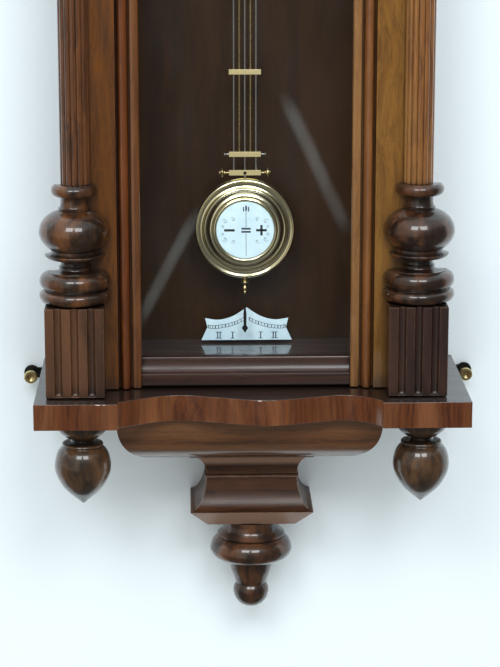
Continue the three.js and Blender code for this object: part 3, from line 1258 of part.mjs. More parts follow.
makeBackboard();
makeSides();
makeFloor();
makeBaseBoard();
makeApron();
makeCorbel();
makeBottomFinial();
makeDrops();
makeSteadyStrap();
makeSteadyScrew('steady_screw_left', -1);
makeSteadyScrew('steady_screw_right', 1);
makeDoorFrame();
makeDoorMoulding();
makeBottomRail();
makeDoorGlass();
makeHinge('lower', HINGE_LOWER);
makeHinge('upper', HINGE_UPPER);
makeLatch();
makeColumns();
makeCornice();
makeCrest();
makeCornerFinials();
makeBeatScale();
makeBracket();
makePlates();
makeBarrel();
makeBarrelArbor();
makeClick();
makeSecondWheel();
makeCentreWheel();
makeThirdWheel();
makeEscapeWheel();
makeAnchor();
makeMinuteWheel();
makeHourWheel();
makeDial();
makeHands();
makeSuspension();
makeSteelFrame();
makeBrassFrame();
makeLowerBar();
makePointerRod();
makeBob();
makeRatingNut();

export default root;
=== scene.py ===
import math

import bmesh
import bpy
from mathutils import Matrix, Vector


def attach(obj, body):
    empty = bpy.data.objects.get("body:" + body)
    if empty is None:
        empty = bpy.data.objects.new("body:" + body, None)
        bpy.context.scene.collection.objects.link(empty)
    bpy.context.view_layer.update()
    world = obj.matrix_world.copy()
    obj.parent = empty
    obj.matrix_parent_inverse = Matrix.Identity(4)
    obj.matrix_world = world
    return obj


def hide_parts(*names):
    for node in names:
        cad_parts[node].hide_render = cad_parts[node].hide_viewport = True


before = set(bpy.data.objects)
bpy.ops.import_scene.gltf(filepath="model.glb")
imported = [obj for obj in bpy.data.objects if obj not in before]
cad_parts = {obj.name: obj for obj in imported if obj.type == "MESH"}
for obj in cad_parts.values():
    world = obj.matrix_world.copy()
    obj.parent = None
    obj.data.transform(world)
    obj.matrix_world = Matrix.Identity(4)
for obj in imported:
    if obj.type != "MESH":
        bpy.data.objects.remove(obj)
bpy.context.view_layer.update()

MM = 0.001

# Camera, in metres and radians, with its lens in mm: it stands before the lower half and looks down at it
CAMERA_AT = (-0.05327, -2.24141, 0.56284)
CAMERA_PITCH = 0.2363
CAMERA_YAW = -0.0269
CAMERA_LENS = 126.55

# Stage, in metres and watts: a wall just behind the clock, a floor far below and two soft windows in front
WALL_Y = 0.0004
FLOOR_Z = -0.6
WINDOWS = (("window_left", -0.8), ("window_right", 0.58))
WINDOW_Y = -2.4
WINDOW_Z = 1.95
WINDOW_SIZE = 1.1
WINDOW_POWER = 36
WINDOW_TINT = (0.95, 0.98, 1.0)
LIT_POINT = (0, 0, 0.15)

# Light of the room by direction, and as the varnish mirrors it
CEILING = (0.86, 0.9, 0.92, 1)
ROOM_LEFT = (0.5, 0.45, 0.42, 1)
ROOM_FRONT = (0.78, 0.79, 0.79, 1)
ROOM_LOW = (0.62, 0.61, 0.57, 1)
MIRRORED_LEFT = (0.85, 0.8, 0.68, 1)
MIRRORED_FRONT = (0.1, 0.1, 0.1, 1)
MIRRORED_LOW = (0.08, 0.075, 0.07, 1)
ROOM_SEEN = (0.84, 0.88, 0.92, 1)

# Places that the pieces are built from, in mm; GAP is what lies between two pieces that meet
SIDES = ((-1, "left"), (1, "right"))
GAP = 0.3
BASE_SHIFT = 5.3
BASE_UNDER = -25
APRON_SHIFT = 3.3
CORBEL_SHIFT = 6.8
CORBEL_TOP = -76.2
FINIAL_TOP = -152
DROP_SPREAD = 157.8
DROP_DEPTH = 142
STEADY_SPREAD = 213
STEADY_Z = -14.6
DOOR_FOOT = 1.2
OPENING_HALF = 97.2
ARCH_SPRING = 690
COLUMN_SPREAD = 157.6
COLUMN_DEPTH = 127.9
TURNING_SHIFTS = (0.3, 1.8)
SHAFT_SHIFTS = (2, 0)
TOP_BEADS = (20.9, 22.3)
PEDESTAL_TOP = 84.5
COLUMN_BASE_HEIGHT = 110.2
SHAFT_TOP = 674
CORNICE_TOP = 860.3
MOVEMENT_X = 1
DIAL_Z = 653
DIAL_FACE = 90.3
MINUTE_RADIUS = 76
NUMERAL_RADIUS = 60
PENDULUM_DEPTH = 44
ROD_PITCH = 5.25
ROD_TOP = 637
HEAD_BAR = 638.5
BRASS_BARS = (208.2, 286.3, 455, 620)
LOWER_BAR = 190.5
BOB_Z = 137.2
BOB_RADIUS = 48.7
NUT_Z = 83.3
POINTER_TIP = 34.3
SCALE_X = 3
SCALE_FACE = 30
SCALE_BOTTOM = 23.7


# Nodes of a material
def feed(tree, node, inputs):
    """Links the sockets among the inputs to the node, and sets the values among them."""
    for key, value in inputs.items():
        if isinstance(value, bpy.types.NodeSocket):
            tree.links.new(value, node.inputs[key])
        else:
            node.inputs[key].default_value = value


def add(tree, kind, inputs=None, **settings):
    made = tree.nodes.new(kind)
    for key, value in settings.items():
        setattr(made, key, value)
    feed(tree, made, inputs or {})
    return made


def colour(r, g, b):
    """A colour written as it looks on a screen, 0 to 255, in linear light."""
    def linear(v):
        v = v / 255
        return v / 12.92 if v <= 0.04045 else ((v + 0.055) / 1.055) ** 2.4
    return (linear(r), linear(g), linear(b), 1)


def group(name, inputs, outputs):
    """A shared tree, with the sockets that it is given and the node that its results go to."""
    kinds = {1: "NodeSocketFloat", 3: "NodeSocketVector", 4: "NodeSocketColor"}
    tree = bpy.data.node_groups.new(name, "ShaderNodeTree")
    for label, value in inputs.items():
        kind = kinds[len(value) if isinstance(value, tuple) else 1]
        socket = tree.interface.new_socket(label, in_out="INPUT", socket_type=kind)
        socket.default_value = value
    for label in outputs:
        kind = kinds[4 if label == "Color" else 1]
        tree.interface.new_socket(label, in_out="OUTPUT", socket_type=kind)
    return tree, add(tree, "NodeGroupInput").outputs, add(tree, "NodeGroupOutput")


def mix(tree, share, a, b):
    """Colour a where share is 0, and b where it is 1."""
    return add(tree, "ShaderNodeMix", {0: share, 6: a, 7: b}, data_type="RGBA").outputs[2]


def fit(tree, value, low, high, to_low=0.0, to_high=1.0):
    """A soft step from to_low, where the value is low, to to_high, where it is high."""
    made = add(tree, "ShaderNodeMapRange", {
        "Value": value, "From Min": low, "From Max": high, "To Min": to_low, "To Max": to_high,
    }, interpolation_type="SMOOTHSTEP")
    return made.outputs["Result"]


def noise(tree, vector, scale, detail=3.0, roughness=0.5):
    made = add(tree, "ShaderNodeTexNoise", {
        "Vector": vector, "Scale": scale, "Detail": detail, "Roughness": roughness,
    })
    return made.outputs["Fac"]


def math_node(tree, operation, a, b=0.0):
    return add(tree, "ShaderNodeMath", {0: a, 1: b}, operation=operation).outputs[0]


def times(tree, a, b):
    return math_node(tree, "MULTIPLY", a, b)


def plus(tree, a, b):
    return math_node(tree, "ADD", a, b)


def vector_node(tree, operation, a, b=(0, 0, 0)):
    return add(tree, "ShaderNodeVectorMath", {0: a, 1: b}, operation=operation).outputs


def scaled(tree, vector, factor):
    return vector_node(tree, "MULTIPLY", vector, factor)[0]


def object_place(tree):
    """Where a point is on the clock at rest, in metres."""
    return add(tree, "ShaderNodeTexCoord").outputs["Object"]


def wood_grain_group():
    """Streaks, broad figure and pores of planed and varnished wood."""
    tree, given, out = group("wood_grain", {
        "Grain": (160, 160, 7), "Deep": (0.02, 0.01, 0.005, 1), "Middle": (0.06, 0.03, 0.01, 1),
        "Bright": (0.2, 0.1, 0.04, 1), "Figure": 0.4, "Pores": 0.5,
    }, ("Color", "Roughness", "Height"))
    place = object_place(tree)
    sway = scaled(tree, noise(tree, place, 9, 2), (0.03, 0.03, 0.0))
    along = scaled(tree, vector_node(tree, "ADD", place, sway)[0], given["Grain"])
    streaks = noise(tree, along, 1.0, 7, 0.65)
    fine = noise(tree, along, 5.0, 4, 0.6)
    figure = noise(tree, scaled(tree, along, (0.12, 0.12, 0.35)), 1.0, 3, 0.6)
    grain = plus(tree, times(tree, streaks, 0.7), times(tree, fine, 0.3))
    base = mix(tree, fit(tree, grain, 0.36, 0.62), given["Deep"], given["Middle"])
    lit = times(tree, fit(tree, figure, 0.4, 0.68), given["Figure"])
    figured = mix(tree, lit, base, given["Bright"])
    pore = fit(tree, noise(tree, scaled(tree, along, (6, 6, 3.4)), 1.0, 1), 0.6, 0.72)
    pored = times(tree, pore, given["Pores"])
    feed(tree, out, {
        "Color": mix(tree, pored, figured, (0.004, 0.003, 0.002, 1)),
        "Roughness": fit(tree, grain, 0.3, 0.7, 0.42, 0.3),
        "Height": math_node(tree, "SUBTRACT", times(tree, fine, 0.4), pored),
    })
    return tree


def worn_edge_and_highlight_group():
    """How near a point is to an outward corner of the piece, from 0 to 1, broken up: worn edges, and a
    painted highlight along sharp arrises.
    """
    tree, given, out = group("worn_edge_and_highlight", {"Reach": 0.0012, "Amount": 0.5}, ("Mask",))
    rounded = add(tree, "ShaderNodeBevel", {"Radius": given["Reach"]}, samples=4)
    true = add(tree, "ShaderNodeNewGeometry")
    same = vector_node(tree, "DOT_PRODUCT", rounded.outputs[0], true.outputs["Normal"])["Value"]
    near = fit(tree, same, 0.99, 0.86)
    broken = fit(tree, noise(tree, object_place(tree), 140, 4, 0.7), 0.35, 0.6)
    feed(tree, out, {"Mask": times(tree, times(tree, near, broken), given["Amount"])})
    return tree


def recess_shade_group():
    """Painted shade in hollows and under ledges, from 0 to 1, found by ambient occlusion."""
    tree, given, out = group("recess_shade", {"Reach": 0.018}, ("Mask",))
    hollow = add(tree, "ShaderNodeAmbientOcclusion", {"Distance": given["Reach"]}, samples=6)
    feed(tree, out, {"Mask": fit(tree, hollow.outputs["AO"], 0.82, 0.4)})
    return tree


def side_of_clock_group():
    """0 on the left of the clock and 1 on its right, for boards cut from different planks and for painted
    light and shade that differ between the two sides.
    """
    tree, given, out = group("side_of_clock", {"Spread": 0.05}, ("Mask",))
    across = add(tree, "ShaderNodeSeparateXYZ", {0: object_place(tree)}).outputs[0]
    left = times(tree, given["Spread"], -1.0)
    feed(tree, out, {"Mask": fit(tree, across, left, given["Spread"])})
    return tree


def handled_metal_group():
    """Slow patches of tarnish and fine rubbing marks on metal; Dull is the clean metal's roughness."""
    tree, given, out = group("handled_metal", {
        "Clean": (0.8, 0.6, 0.3, 1), "Tarnish": (0.3, 0.2, 0.1, 1), "Dull": 0.15, "Age": 0.4,
    }, ("Color", "Roughness", "Height"))
    place = object_place(tree)
    patches = fit(tree, noise(tree, place, 55, 5, 0.65), 0.42, 0.75)
    aged = times(tree, patches, given["Age"])
    rubbed = noise(tree, scaled(tree, place, (1, 1, 12)), 260, 3, 0.7)
    spread = plus(tree, given["Dull"], times(tree, aged, 0.25))
    feed(tree, out, {
        "Color": mix(tree, aged, given["Clean"], given["Tarnish"]),
        "Roughness": plus(tree, spread, times(tree, rubbed, 0.06)),
        "Height": rubbed,
    })
    return tree


WOOD_GRAIN = wood_grain_group()
EDGE_WEAR_AND_HIGHLIGHT = worn_edge_and_highlight_group()
RECESS_SHADE = recess_shade_group()
SIDE_OF_CLOCK = side_of_clock_group()
HANDLED_METAL = handled_metal_group()


def use(tree, shared, inputs=None):
    """Outputs of a shared tree, put to use in a material."""
    return add(tree, "ShaderNodeGroup", inputs, node_tree=shared).outputs


def shader(name):
    made = bpy.data.materials.new(name)
    made.use_nodes = True
    tree = made.node_tree
    return made, tree, tree.nodes["Principled BSDF"]


def bump(tree, surface, height, strength, distance):
    made = add(tree, "ShaderNodeBump", {"Height": height, "Strength": strength, "Distance": distance})
    feed(tree, surface, {"Normal": made.outputs["Normal"]})


def blend(tree, share, a, b):
    """Makes the material surface a where share is 0, and surface b where it is 1."""
    both = add(tree, "ShaderNodeMixShader", {0: share, 1: a.outputs[0], 2: b.outputs[0]})
    feed(tree, tree.nodes["Material Output"], {"Surface": both.outputs[0]})


def planed(tree, tones, grain, figure, pores):
    deep, middle, bright = (colour(*tone) for tone in tones)
    return use(tree, WOOD_GRAIN, {
        "Grain": grain, "Deep": deep, "Middle": middle, "Bright": bright, "Figure": figure, "Pores": pores,
    })


def chipped(tree, shown, place, size):
    """A pale bruise in the edge of a board, at a place in metres and of a size in millimetres."""
    here = object_place(tree)
    off = vector_node(tree, "SUBTRACT", here, place)[0]
    far = vector_node(tree, "LENGTH", scaled(tree, off, tuple(1 / (v * MM) for v in size)))["Value"]
    ragged = plus(tree, far, times(tree, noise(tree, here, 900, 2), 0.8))
    return mix(tree, fit(tree, ragged, 1.35, 1.1), shown, colour(222, 206, 196))


def varnished(
    name, tones, grain, figure=0.4, pores=0.25, relief=0.15, hollow_shade=0.85, edge=None, wear_and_highlight=0.5,
    right_tones=None, under=None, chips=(), gloss=0.9, satin=0.12, sheen=1.5,
):
    """Varnished wood in three tones, with a grain that says how close its streaks lie along x, y and z.

    A share of painted shade darkens the hollows and the undersides of ledges. edge is the pale tone of worn
    corners, which also stands for a painted highlight along sharp arrises. right_tones are those of the right
    of the clock, partly another plank and partly painted light and shade. under is a painted reflection of
    the lit floor, a paler tone on faces that look down. gloss is how much the varnish shows, satin how rough
    it is, and sheen its index of refraction.
    """
    made, tree, surface = shader(name)
    board = planed(tree, tones, grain, figure, pores)
    shown = board["Color"]
    # Tones on the right of the clock: partly another plank, partly painted light and shade.
    if right_tones:
        other = planed(tree, right_tones, grain, figure, pores)
        shown = mix(tree, use(tree, SIDE_OF_CLOCK)["Mask"], shown, other["Color"])
    # Pale worn corners, which also stand for a painted highlight along sharp arrises.
    if edge:
        shown = mix(tree, use(tree, EDGE_WEAR_AND_HIGHLIGHT, {"Amount": wear_and_highlight})["Mask"], shown, colour(*edge))
    # Painted shade: hollows and the undersides of ledges darkened toward near black.
    hollow = times(tree, use(tree, RECESS_SHADE)["Mask"], hollow_shade)
    shown = mix(tree, hollow, shown, (0.006, 0.004, 0.003, 1))
    # Painted reflection: faces that look down take a paler tone, standing for the lit floor mirrored in the
    # varnish.
    if under:
        normal = add(tree, "ShaderNodeNewGeometry").outputs["Normal"]
        up = add(tree, "ShaderNodeSeparateXYZ", {0: normal}).outputs[2]
        shown = mix(tree, fit(tree, up, -0.3, -0.6), shown, colour(*under))
    for place, size in chips:
        shown = chipped(tree, shown, place, size)
    feed(tree, surface, {
        "Base Color": shown, "Roughness": board["Roughness"], "Specular IOR Level": 0.3,
        "Coat Weight": gloss, "Coat Roughness": satin, "Coat IOR": sheen,
    })
    bump(tree, surface, board["Height"], relief, 0.0002)
    return made


def metal(name, clean, tarnish, dull, age):
    made, tree, surface = shader(name)
    skin = use(tree, HANDLED_METAL, {"Clean": clean, "Tarnish": tarnish, "Dull": dull, "Age": age})
    feed(tree, surface, {"Base Color": skin["Color"], "Roughness": skin["Roughness"], "Metallic": 1.0})
    bump(tree, surface, skin["Height"], 0.05, 0.0001)
    return made


def white_enamel():
    """White enamel with a faint cloudiness, under a glassy skin."""
    made, tree, surface = shader("white_enamel")
    cloud = noise(tree, object_place(tree), 60, 4, 0.6)
    feed(tree, surface, {
        "Base Color": mix(tree, fit(tree, cloud, 0.35, 0.7), colour(218, 246, 255), colour(204, 234, 248)),
        "Roughness": fit(tree, cloud, 0.3, 0.7, 0.2, 0.32),
        "Coat Weight": 0.6,
        "Coat Roughness": 0.05,
    })
    return made


def printed_black():
    made, tree, surface = shader("printed_black")
    thin = noise(tree, object_place(tree), 900, 3, 0.6)
    shown = mix(tree, fit(tree, thin, 0.4, 0.75), colour(26, 28, 34), colour(58, 62, 70))
    feed(tree, surface, {"Base Color": shown, "Roughness": 0.45})
    return made


def reflection_streak(tree, place, corner, toward, width, low, high):
    """Painted reflection: a soft pale straight streak on the glass from corner toward another point, in x and
    z, between two heights.
    """
    dx, dz = toward[0] - corner[0], toward[1] - corner[1]
    size = math.hypot(dx, dz)
    nx, nz = dz / size, -dx / size
    off = vector_node(tree, "DOT_PRODUCT", place, (nx, 0, nz))["Value"]
    off = math_node(tree, "SUBTRACT", off, nx * corner[0] + nz * corner[1])
    near = fit(tree, math_node(tree, "ABSOLUTE", off), width, width * 0.2)
    height = add(tree, "ShaderNodeSeparateXYZ", {0: place}).outputs[2]
    ends = times(tree, fit(tree, height, low, low + 0.03), fit(tree, height, high, high - 0.03))
    return times(tree, near, ends)


def window_glass():
    """Clear pane with a film of dust and two pale streaks that are painted reflections; the camera sees it
    mirror the room a little.
    """
    made, tree, surface = shader("door_glass")
    place = object_place(tree)
    cloud = noise(tree, scaled(tree, place, (1, 1, 0.4)), 22, 4, 0.6)
    # Painted reflections: two faint pale diagonal streaks standing for the room mirrored in the pane.
    left = reflection_streak(tree, place, (-0.052, 0.152), (-0.095, 0.07), width=0.008, low=0.045, high=0.175)
    right = reflection_streak(tree, place, (0.051, 0.24), (0.073, 0.192), width=0.009, low=0.14, high=0.28)
    reflected_streaks = times(tree, plus(tree, left, right), fit(tree, cloud, 0.2, 0.7, 0.02, 0.052))
    feed(tree, surface, {
        "Alpha": plus(tree, reflected_streaks, fit(tree, cloud, 0.4, 0.8, 0.001, 0.007)),
        "Base Color": (0.5, 0.55, 0.54, 1),
        "Roughness": fit(tree, cloud, 0.3, 0.8, 0.3, 0.5),
    })
    mirror = add(tree, "ShaderNodeBsdfGlossy", {"Roughness": 0.02})
    facing = add(tree, "ShaderNodeFresnel", {"IOR": 1.45})
    ray = add(tree, "ShaderNodeLightPath")
    seen = times(tree, times(tree, facing.outputs[0], 0.45), ray.outputs["Is Camera Ray"])
    blend(tree, seen, surface, mirror)
    return made


def stage_paint(name, shade, backless=False, bounce=None, gleam=None):
    """Plain paint of the wall or the floor.

    A backless wall can be seen through from behind and lets light onto the clock's back. bounce is the
    floor's colour in the light that it throws up, and gleam its colour in the varnish.
    """
    made, tree, surface = shader(name)
    cloud = noise(tree, object_place(tree), 3, 3, 0.5)
    darker = tuple(v * 0.97 for v in shade[:3]) + (1,)
    shown = mix(tree, cloud, shade, darker)
    if bounce:
        ray = add(tree, "ShaderNodeLightPath")
        shown = mix(tree, ray.outputs["Is Diffuse Ray"], shown, bounce)
        shown = mix(tree, ray.outputs["Is Glossy Ray"], shown, gleam)
    feed(tree, surface, {"Base Color": shown, "Roughness": 0.85, "Specular IOR Level": 0.2})
    if backless:
        gone = add(tree, "ShaderNodeBsdfTransparent")
        facing = add(tree, "ShaderNodeNewGeometry")
        near = math_node(tree, "LESS_THAN", add(tree, "ShaderNodeLightPath").outputs["Ray Length"], 0.004)
        blend(tree, math_node(tree, "MAXIMUM", facing.outputs["Backfacing"], near), surface, gone)
    return made


# Woods of the case, the door and the turnings
UPRIGHT = (150, 150, 6)
ACROSS = (6, 150, 150)
TURNED_WOOD = varnished(
    "turned_walnut", ((20, 12, 7), (50, 31, 18), (112, 68, 33)), grain=(520, 520, 75), figure=0.7, pores=0.15,
    hollow_shade=0.95, gloss=1.0, satin=0.02, sheen=1.45, right_tones=((18, 11, 7), (42, 26, 16), (94, 56, 31)),
)
DARK_TURNED = varnished(
    "dark_turned_walnut", ((24, 17, 11), (54, 39, 26), (108, 74, 44)), grain=(440, 440, 60), figure=0.55,
    pores=0.15, gloss=1.0, satin=0.02, sheen=1.45,
)
PEDESTAL_WOOD = varnished(
    "pedestal_walnut", ((36, 21, 14), (66, 41, 26), (108, 70, 42)), UPRIGHT, figure=0.6, pores=0.3,
    edge=(150, 110, 78), wear_and_highlight=0.45, gloss=0.5, satin=0.35,
    right_tones=((28, 16, 12), (50, 31, 25), (78, 48, 36)),
)
SHAFT_WOOD = varnished(
    "shaft_walnut", ((54, 29, 13), (96, 56, 26), (138, 88, 48)), UPRIGHT, figure=0.6, hollow_shade=0.7,
    right_tones=((88, 50, 22), (130, 84, 40), (160, 114, 54)),
)
# The darker left tones are partly another plank and partly painted shadow of the left column on its strip.
STRIP_WOOD = varnished(
    "door_walnut", ((62, 34, 10), (92, 52, 12), (122, 70, 14)), grain=(170, 170, 9), figure=0.6, hollow_shade=0.6,
    gloss=0.6, right_tones=((96, 60, 22), (126, 86, 32), (146, 104, 42)),
)
MOULDING_WOOD = varnished(
    "moulding_walnut", ((62, 27, 8), (98, 50, 18), (124, 70, 32)), UPRIGHT, figure=0.5, hollow_shade=0.55,
    right_tones=((80, 42, 16), (116, 70, 32), (136, 88, 44)),
)
LIP_WOOD = varnished(
    "door_lip_walnut", ((72, 38, 10), (100, 58, 24), (116, 72, 36)), UPRIGHT, figure=0.5, hollow_shade=0.5,
    right_tones=((108, 70, 34), (134, 94, 52), (146, 104, 60)),
)
RAIL_WOOD = varnished("rail_walnut", ((38, 22, 17), (62, 40, 33), (82, 56, 46)), ACROSS, gloss=0.4)
# The case floor's pale greyish tones are partly painted sheen, the varnish's reflection of the room.
FLOOR_WOOD = varnished(
    "case_floor_walnut", ((44, 34, 32), (70, 58, 56), (90, 76, 74)), ACROSS, figure=0.3, pores=0.2, hollow_shade=0.3,
    satin=0.05,
)
VENEER = varnished(
    "base_veneer", ((62, 24, 3), (94, 48, 15), (150, 98, 60)), grain=(260, 260, 8), figure=0.38, pores=0.15,
    hollow_shade=0.3, edge=(176, 130, 94), wear_and_highlight=0.4,
    chips=(
        ((0.0115, -0.1672, -0.0003), (2.6, 2.0, 1.0)),
        ((0.0012, -0.1685, -0.0002), (1.6, 1.6, 0.6)),
        ((-0.1361, -0.1776, -0.0003), (3.2, 1.2, 0.8)),
        ((-0.1307, -0.1776, -0.0003), (1.6, 1, 0.7)),
    ),
)
TOP_WOOD = varnished("board_top_walnut", ((26, 16, 13), (44, 29, 24), (62, 42, 32)), ACROSS)
APRON_WOOD = varnished(
    "apron_walnut", ((66, 40, 21), (98, 62, 34), (122, 82, 48)), ACROSS, figure=0.35, hollow_shade=0.4,
)
# The corbel's under tone is a painted reflection of the lit floor on its chamfered foot, and its pale edge is
# worn corners with a painted highlight along the arris.
CORBEL_WOOD = varnished(
    "corbel_walnut", ((44, 24, 15), (74, 46, 30), (106, 68, 44)), ACROSS, figure=0.45, pores=0.3, hollow_shade=0.6,
    edge=(190, 160, 142), wear_and_highlight=0.7, under=(136, 108, 92), gloss=0.15, satin=0.3,
)
BACK_WOOD = varnished(
    "backboard_walnut", ((36, 19, 4), (51, 31, 10), (68, 42, 16)), grain=(90, 90, 4), figure=0.7, pores=0.15,
    relief=0.03, hollow_shade=0.3, gloss=0.3,
)
SIDE_WOOD = varnished("case_walnut", ((40, 24, 16), (70, 44, 28), (94, 62, 40)), UPRIGHT, figure=0.5)

# Metals, enamel and glass
BRASS = metal("brass", (0.64, 0.54, 0.27, 1), (0.4, 0.31, 0.14, 1), dull=0.24, age=0.35)
SATIN_BRASS = metal("satin_brass", (0.86, 0.75, 0.42, 1), (0.6, 0.48, 0.22, 1), dull=0.52, age=0.3)
BOB_BRASS = metal("bob_brass", (0.86, 0.82, 0.56, 1), (0.6, 0.52, 0.28, 1), dull=0.13, age=0.25)
STEEL = metal("steel", (0.56, 0.58, 0.6, 1), (0.36, 0.36, 0.36, 1), dull=0.26, age=0.3)
BLUED = metal("blued_steel", (0.03, 0.05, 0.14, 1), (0.04, 0.03, 0.05, 1), dull=0.2, age=0.4)
IRON = metal("blackened_iron", (0.03, 0.032, 0.035, 1), (0.05, 0.035, 0.025, 1), dull=0.4, age=0.5)
ENAMEL = white_enamel()
INK = printed_black()
GLASS = window_glass()


# Mesh making
def in_scene(name, data):
    made = bpy.data.objects.new(name, data)
    bpy.context.scene.collection.objects.link(made)
    return made


def object_from(name, bm, sharp=30):
    bmesh.ops.recalc_face_normals(bm, faces=bm.faces)
    mesh = bpy.data.meshes.new(name)
    bm.to_mesh(mesh)
    bm.free()
    mesh.polygons.foreach_set("use_smooth", [True] * len(mesh.polygons))
    mesh.set_sharp_from_angle(angle=math.radians(sharp))
    return in_scene(name, mesh)


def dress(made, materials, slot, body, *nodes):
    for material in materials if isinstance(materials, tuple) else (materials,):
        made.data.materials.append(material)
    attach(made, body)
    if nodes:
        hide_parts(*nodes)


def second_finish(made, chosen):
    """Gives the piece's second material to the faces that chosen says yes to."""
    for face in made.data.polygons:
        if chosen(face):
            face.material_index = 1


def curve(points, steps=6):
    """A smooth line through the points, with steps between each two of them."""
    ends = [points[0], *points, points[-1]]
    line = []
    for i in range(1, len(ends) - 2):
        p0, p1, p2, p3 = (Vector(ends[i + k]) for k in (-1, 0, 1, 2))
        for k in range(steps):
            t = k / steps
            a = 2 * p1 + (p2 - p0) * t + (2 * p0 - 5 * p1 + 4 * p2 - p3) * t * t
            line.append(tuple((a + (3 * p1 - p0 - 3 * p2 + p3) * t ** 3) / 2))
    line.append(tuple(points[-1]))
    return line


def arc(cx, cy, rx, ry, start, end, steps):
    """Part of an ellipse round (cx, cy), between two angles in degrees."""
    turn = [math.radians(start + (end - start) * i / steps) for i in range(steps + 1)]
    return [(cx + rx * math.cos(a), cy + ry * math.sin(a)) for a in turn]


def spun(name, profile, centre, axis="Z", segments=80, sweep=360):
    """Turned work in mm: (radius, height) about Z, or (radius, depth) about a line into the wall."""
    bm = bmesh.new()
    rings = []
    count = segments if sweep == 360 else segments + 1
    start = 0 if sweep == 360 else math.pi
    for r, h in profile:
        ring = []
        for i in range(count):
            a = start + math.radians(sweep) * i / segments
            if axis == "Z":
                at = (r * math.cos(a), r * math.sin(a), h)
            else:
                at = (r * math.cos(a), -h, r * math.sin(a))
            ring.append(bm.verts.new([(p + c) * MM for p, c in zip(at, centre)]))
            if r == 0:
                ring = ring * count
                break
        rings.append(ring)
    for lower, upper in zip(rings, rings[1:]):
        for i in range(segments):
            j = (i + 1) % count
            corners = list(dict.fromkeys([lower[i], lower[j], upper[j], upper[i]]))
            if len(corners) > 2:
                bm.faces.new(corners)
    if sweep != 360:
        right = [ring[0] for ring in rings]
        left = [ring[-1] for ring in rings]
        bm.faces.new(list(dict.fromkeys(right + left[::-1])))
    return object_from(name, bm)


def lofted(name, rings, sharp=30):
    """Closed skin over rings of points in mm, each ring a closed line of the same count."""
    bm = bmesh.new()
    made = [[bm.verts.new(Vector(p) * MM) for p in ring] for ring in rings]
    for a, b in zip(made, made[1:]):
        for i in range(len(a)):
            j = (i + 1) % len(a)
            bm.faces.new((a[i], a[j], b[j], b[i]))
    bm.faces.new(made[0][::-1])
    bm.faces.new(made[-1])
    return object_from(name, bm, sharp)


def square_ring(x, half, depth, z):
    """Outline of a block that stands against the wall, at one height."""
    return [(x - half, 0, z), (x + half, 0, z), (x + half, -depth, z), (x - half, -depth, z)]


def slab(name, outline, rear, front, bevel=0.0):
    """Flat plate drawn in x and z, with its front and rear as depths; all in mm."""
    rings = [[(x, -rear, z) for x, z in outline], [(x, -front, z) for x, z in outline]]
    made = lofted(name, rings)
    if bevel:
        soften(made, bevel)
    return made


def soften(made, width, segments=2, angle=40):
    made.data.set_sharp_from_angle(angle=math.radians(89))
    tool = made.modifiers.new("edges", "BEVEL")
    tool.width = width * MM
    tool.segments = segments
    tool.limit_method = "ANGLE"
    tool.angle_limit = math.radians(angle)
    tool.harden_normals = True


def redone(node, material, slot, body, bevel=0):
    """The CAD piece again, with shared corners, whole flat faces and softened edges."""
    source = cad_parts[node]
    bm = bmesh.new()
    bm.from_mesh(source.data)
    bmesh.ops.remove_doubles(bm, verts=bm.verts, dist=2e-6)
    bmesh.ops.dissolve_limit(bm, angle_limit=math.radians(1), verts=bm.verts, edges=bm.edges)
    made = object_from(f"{node}_dressed", bm)
    if bevel:
        soften(made, bevel)
    dress(made, material, slot, body, node)


# Case

# Sawn front edge between the end blocks: x from the board's middle, and setback from the front
SAWN_FRONT = [
    (-123.8, 6.9), (-88, 26.8), (-63, 31), (-35, 23.6), (9, 10.4), (35.5, 14.6), (80.5, 27.9), (106.5, 19.5),
    (119, 6),
]


def sawn_board(name, node, width, depth, bottom, top, shift=0, notch=0, notch_depth=12.3):
    """Board with a sawn front, veneered on its edges; notch is half the width of the case let in behind."""
    half = width / 2
    sawn = [(x, depth - setback) for x, setback in curve(SAWN_FRONT, 12)]
    first, last = SAWN_FRONT[0][0], SAWN_FRONT[-1][0]
    plan = [(-half, 0), (-half, depth), (first, depth), *sawn, (last, depth), (half, depth), (half, 0)]
    if notch:
        right, left = notch - shift, -notch - shift
        plan += [(right, 0), (right, notch_depth), (left, notch_depth), (left, 0)]
    rings = [[(x + shift, -d, z) for x, d in plan] for z in (bottom, top)]
    made = lofted(name, rings)
    second_finish(made, lambda face: abs(face.normal.z) > 0.9)
    soften(made, 0.7, 3)
    dress(made, (VENEER, TOP_WOOD), "veneer", "case", node)


def quarter_tier(name, width, depth, height, inset, foot, shift=0):
    """Tier whose front and ends curve in from its foot, fuller than a quarter round; it can hang."""
    rings = []
    steps, fullness = 28, 2.5
    for i in range(steps + 1):
        a = math.pi / 2 * i / steps
        back = inset * (1 - max(0, math.cos(a)) ** (2 / fullness))
        z = foot + height * math.sin(a) ** (2 / fullness)
        rings.append(square_ring(shift, width / 2 - back, depth - back, z))
    return lofted(name, rings, sharp=40)


def make_base():
    sawn_board(
        "base_board_veneered", "base_board", width=401.4, depth=177.8, bottom=BASE_UNDER + GAP, top=0,
        shift=BASE_SHIFT, notch=136,
    )
    apron = quarter_tier(
        "base_apron_rounded", width=249, depth=139, height=-49.1, inset=57, foot=BASE_UNDER,
        shift=APRON_SHIFT,
    )
    dress(apron, APRON_WOOD, "walnut", "case", "base_apron")
    make_corbel()
    make_bottom_finial()
    make_drops()


